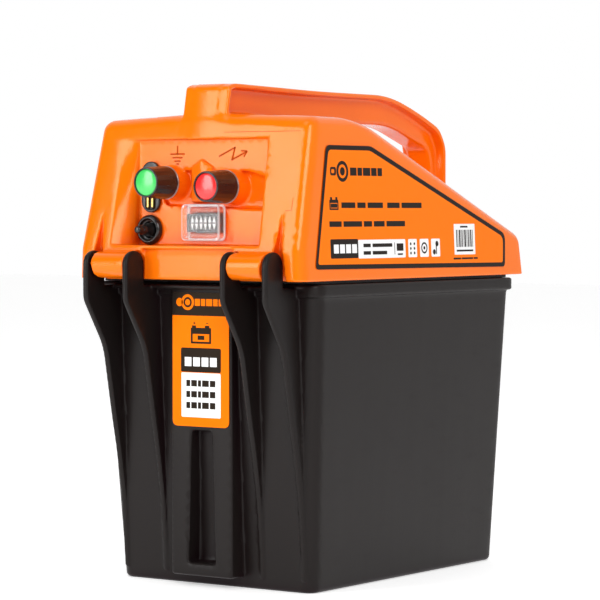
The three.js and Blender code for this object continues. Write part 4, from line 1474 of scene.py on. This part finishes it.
def make_surroundings() -> None:
    """Makes the world white behind the object and dim in front of it, and white to the camera all round."""
    world = bpy.data.worlds.new("studio")
    bpy.context.scene.world = world
    world.use_nodes = True
    sky = Tree(world.node_tree)
    towards = sky.node("ShaderNodeSeparateXYZ", {0: sky.wire("ShaderNodeTexCoord", output="Generated")})
    rear, right = (Wire(sky, towards.outputs[axis]) * 0.5 + 0.5 for axis in "YX")
    shade = sky.mix(sky.ramp(rear, (0.3, 0.0), (0.62, 1.0)), (0.03, 0.03, 0.03), WHITE)
    shade = sky.mix(sky.ramp(right, (0.6, 0.0), (0.95, 1.0)), shade, (0.55, 0.55, 0.55))
    shade = sky.mix(sky.wire("ShaderNodeLightPath", output="Is Camera Ray"), shade, WHITE)
    sky.fill(world.node_tree.nodes["Background"], {"Color": shade, "Strength": 1.0})


def make_studio() -> None:
    """Lays a pale floor, hangs the soft lights and makes the surroundings."""
    corners = [(x * FLOOR_REACH, y * FLOOR_REACH, 0.0) for x, y in ((-1, -1), (1, -1), (1, 1), (-1, 1))]
    floor = add_mesh("floor", corners, [(0, 1, 2, 3)])
    dress(floor, FloorPaper().build("floor_paper"))
    make_surroundings()
    for light in SOFT_BOXES:
        light.hang()
    bpy.context.scene.view_settings.view_transform = "Standard"


# --- assembly
EDGE_RADII = {
    "rear_latch": 0.7, "battery_case": 1.6, "battery_cover": 1.0, "base_plate": 0.5, "transformer_core": 0.5,
    "transformer_winding": 1.2, "heat_sink": 0.2, "control_chip": 0.3, "terminal_block": 0.3, "switch_body": 0.4,
    "earth_stud_nut": 0.3, "fence_stud_nut": 0.3, "circuit_board": 0.15,
}
BASE_SCREWS = [(x, y, 190.9) for y in (-88.0, 12.0, 104.0) for x in (-72.0, 72.0)]
BOARD_SCREWS = [(x, y, 201.4) for y in (-69.0, 91.0) for x in (-55.0, 55.0)]


def finish_nodes(finishes: Finishes) -> None:
    """Rounds the CAD nodes that are listed and dresses the others that still show.

    Args:
        finishes: the object's materials.
    """
    for name, node in frame["nodes"].items():
        slot = node.data.materials[0].name
        if name in EDGE_RADII:
            softened(finishes, name, node["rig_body"], slot, EDGE_RADII[name])
        elif not node.hide_render:
            dress(node, finishes.by_slot[slot])
            set_smooth(node.data)
            node.data.set_sharp_from_angle(angle=math.radians(35.0))
            LOG.info("%s kept, %s", name, slot)


def main() -> None:
    """Builds every piece, the camera and the studio."""
    finishes = Finishes()
    for part in (
        BatteryTub(finishes), EnergizerHousing(finishes), Terminal(finishes, "earth", "green_cap"),
        Terminal(finishes, "fence", "red_cap"), ControlPanel(finishes),
    ):
        part.build()
    for label in (side_label(1), side_label(-1), front_label()):
        label.build(finishes)
    for name, places, scale, tilt, seed in (
        ("base_screw", BASE_SCREWS, 1.0, 0.0, 11), ("board_screw", BOARD_SCREWS, 0.42, math.pi, 12),
    ):
        stands_for = [f"{name}_{number}" for number in range(1, len(places) + 1)]
        ScrewSet(finishes, f"{name}s", "head", places, stands_for, scale, tilt, seed).build()
    finish_nodes(finishes)
    make_camera()
    make_studio()


if __name__ == "__main__":
    main()
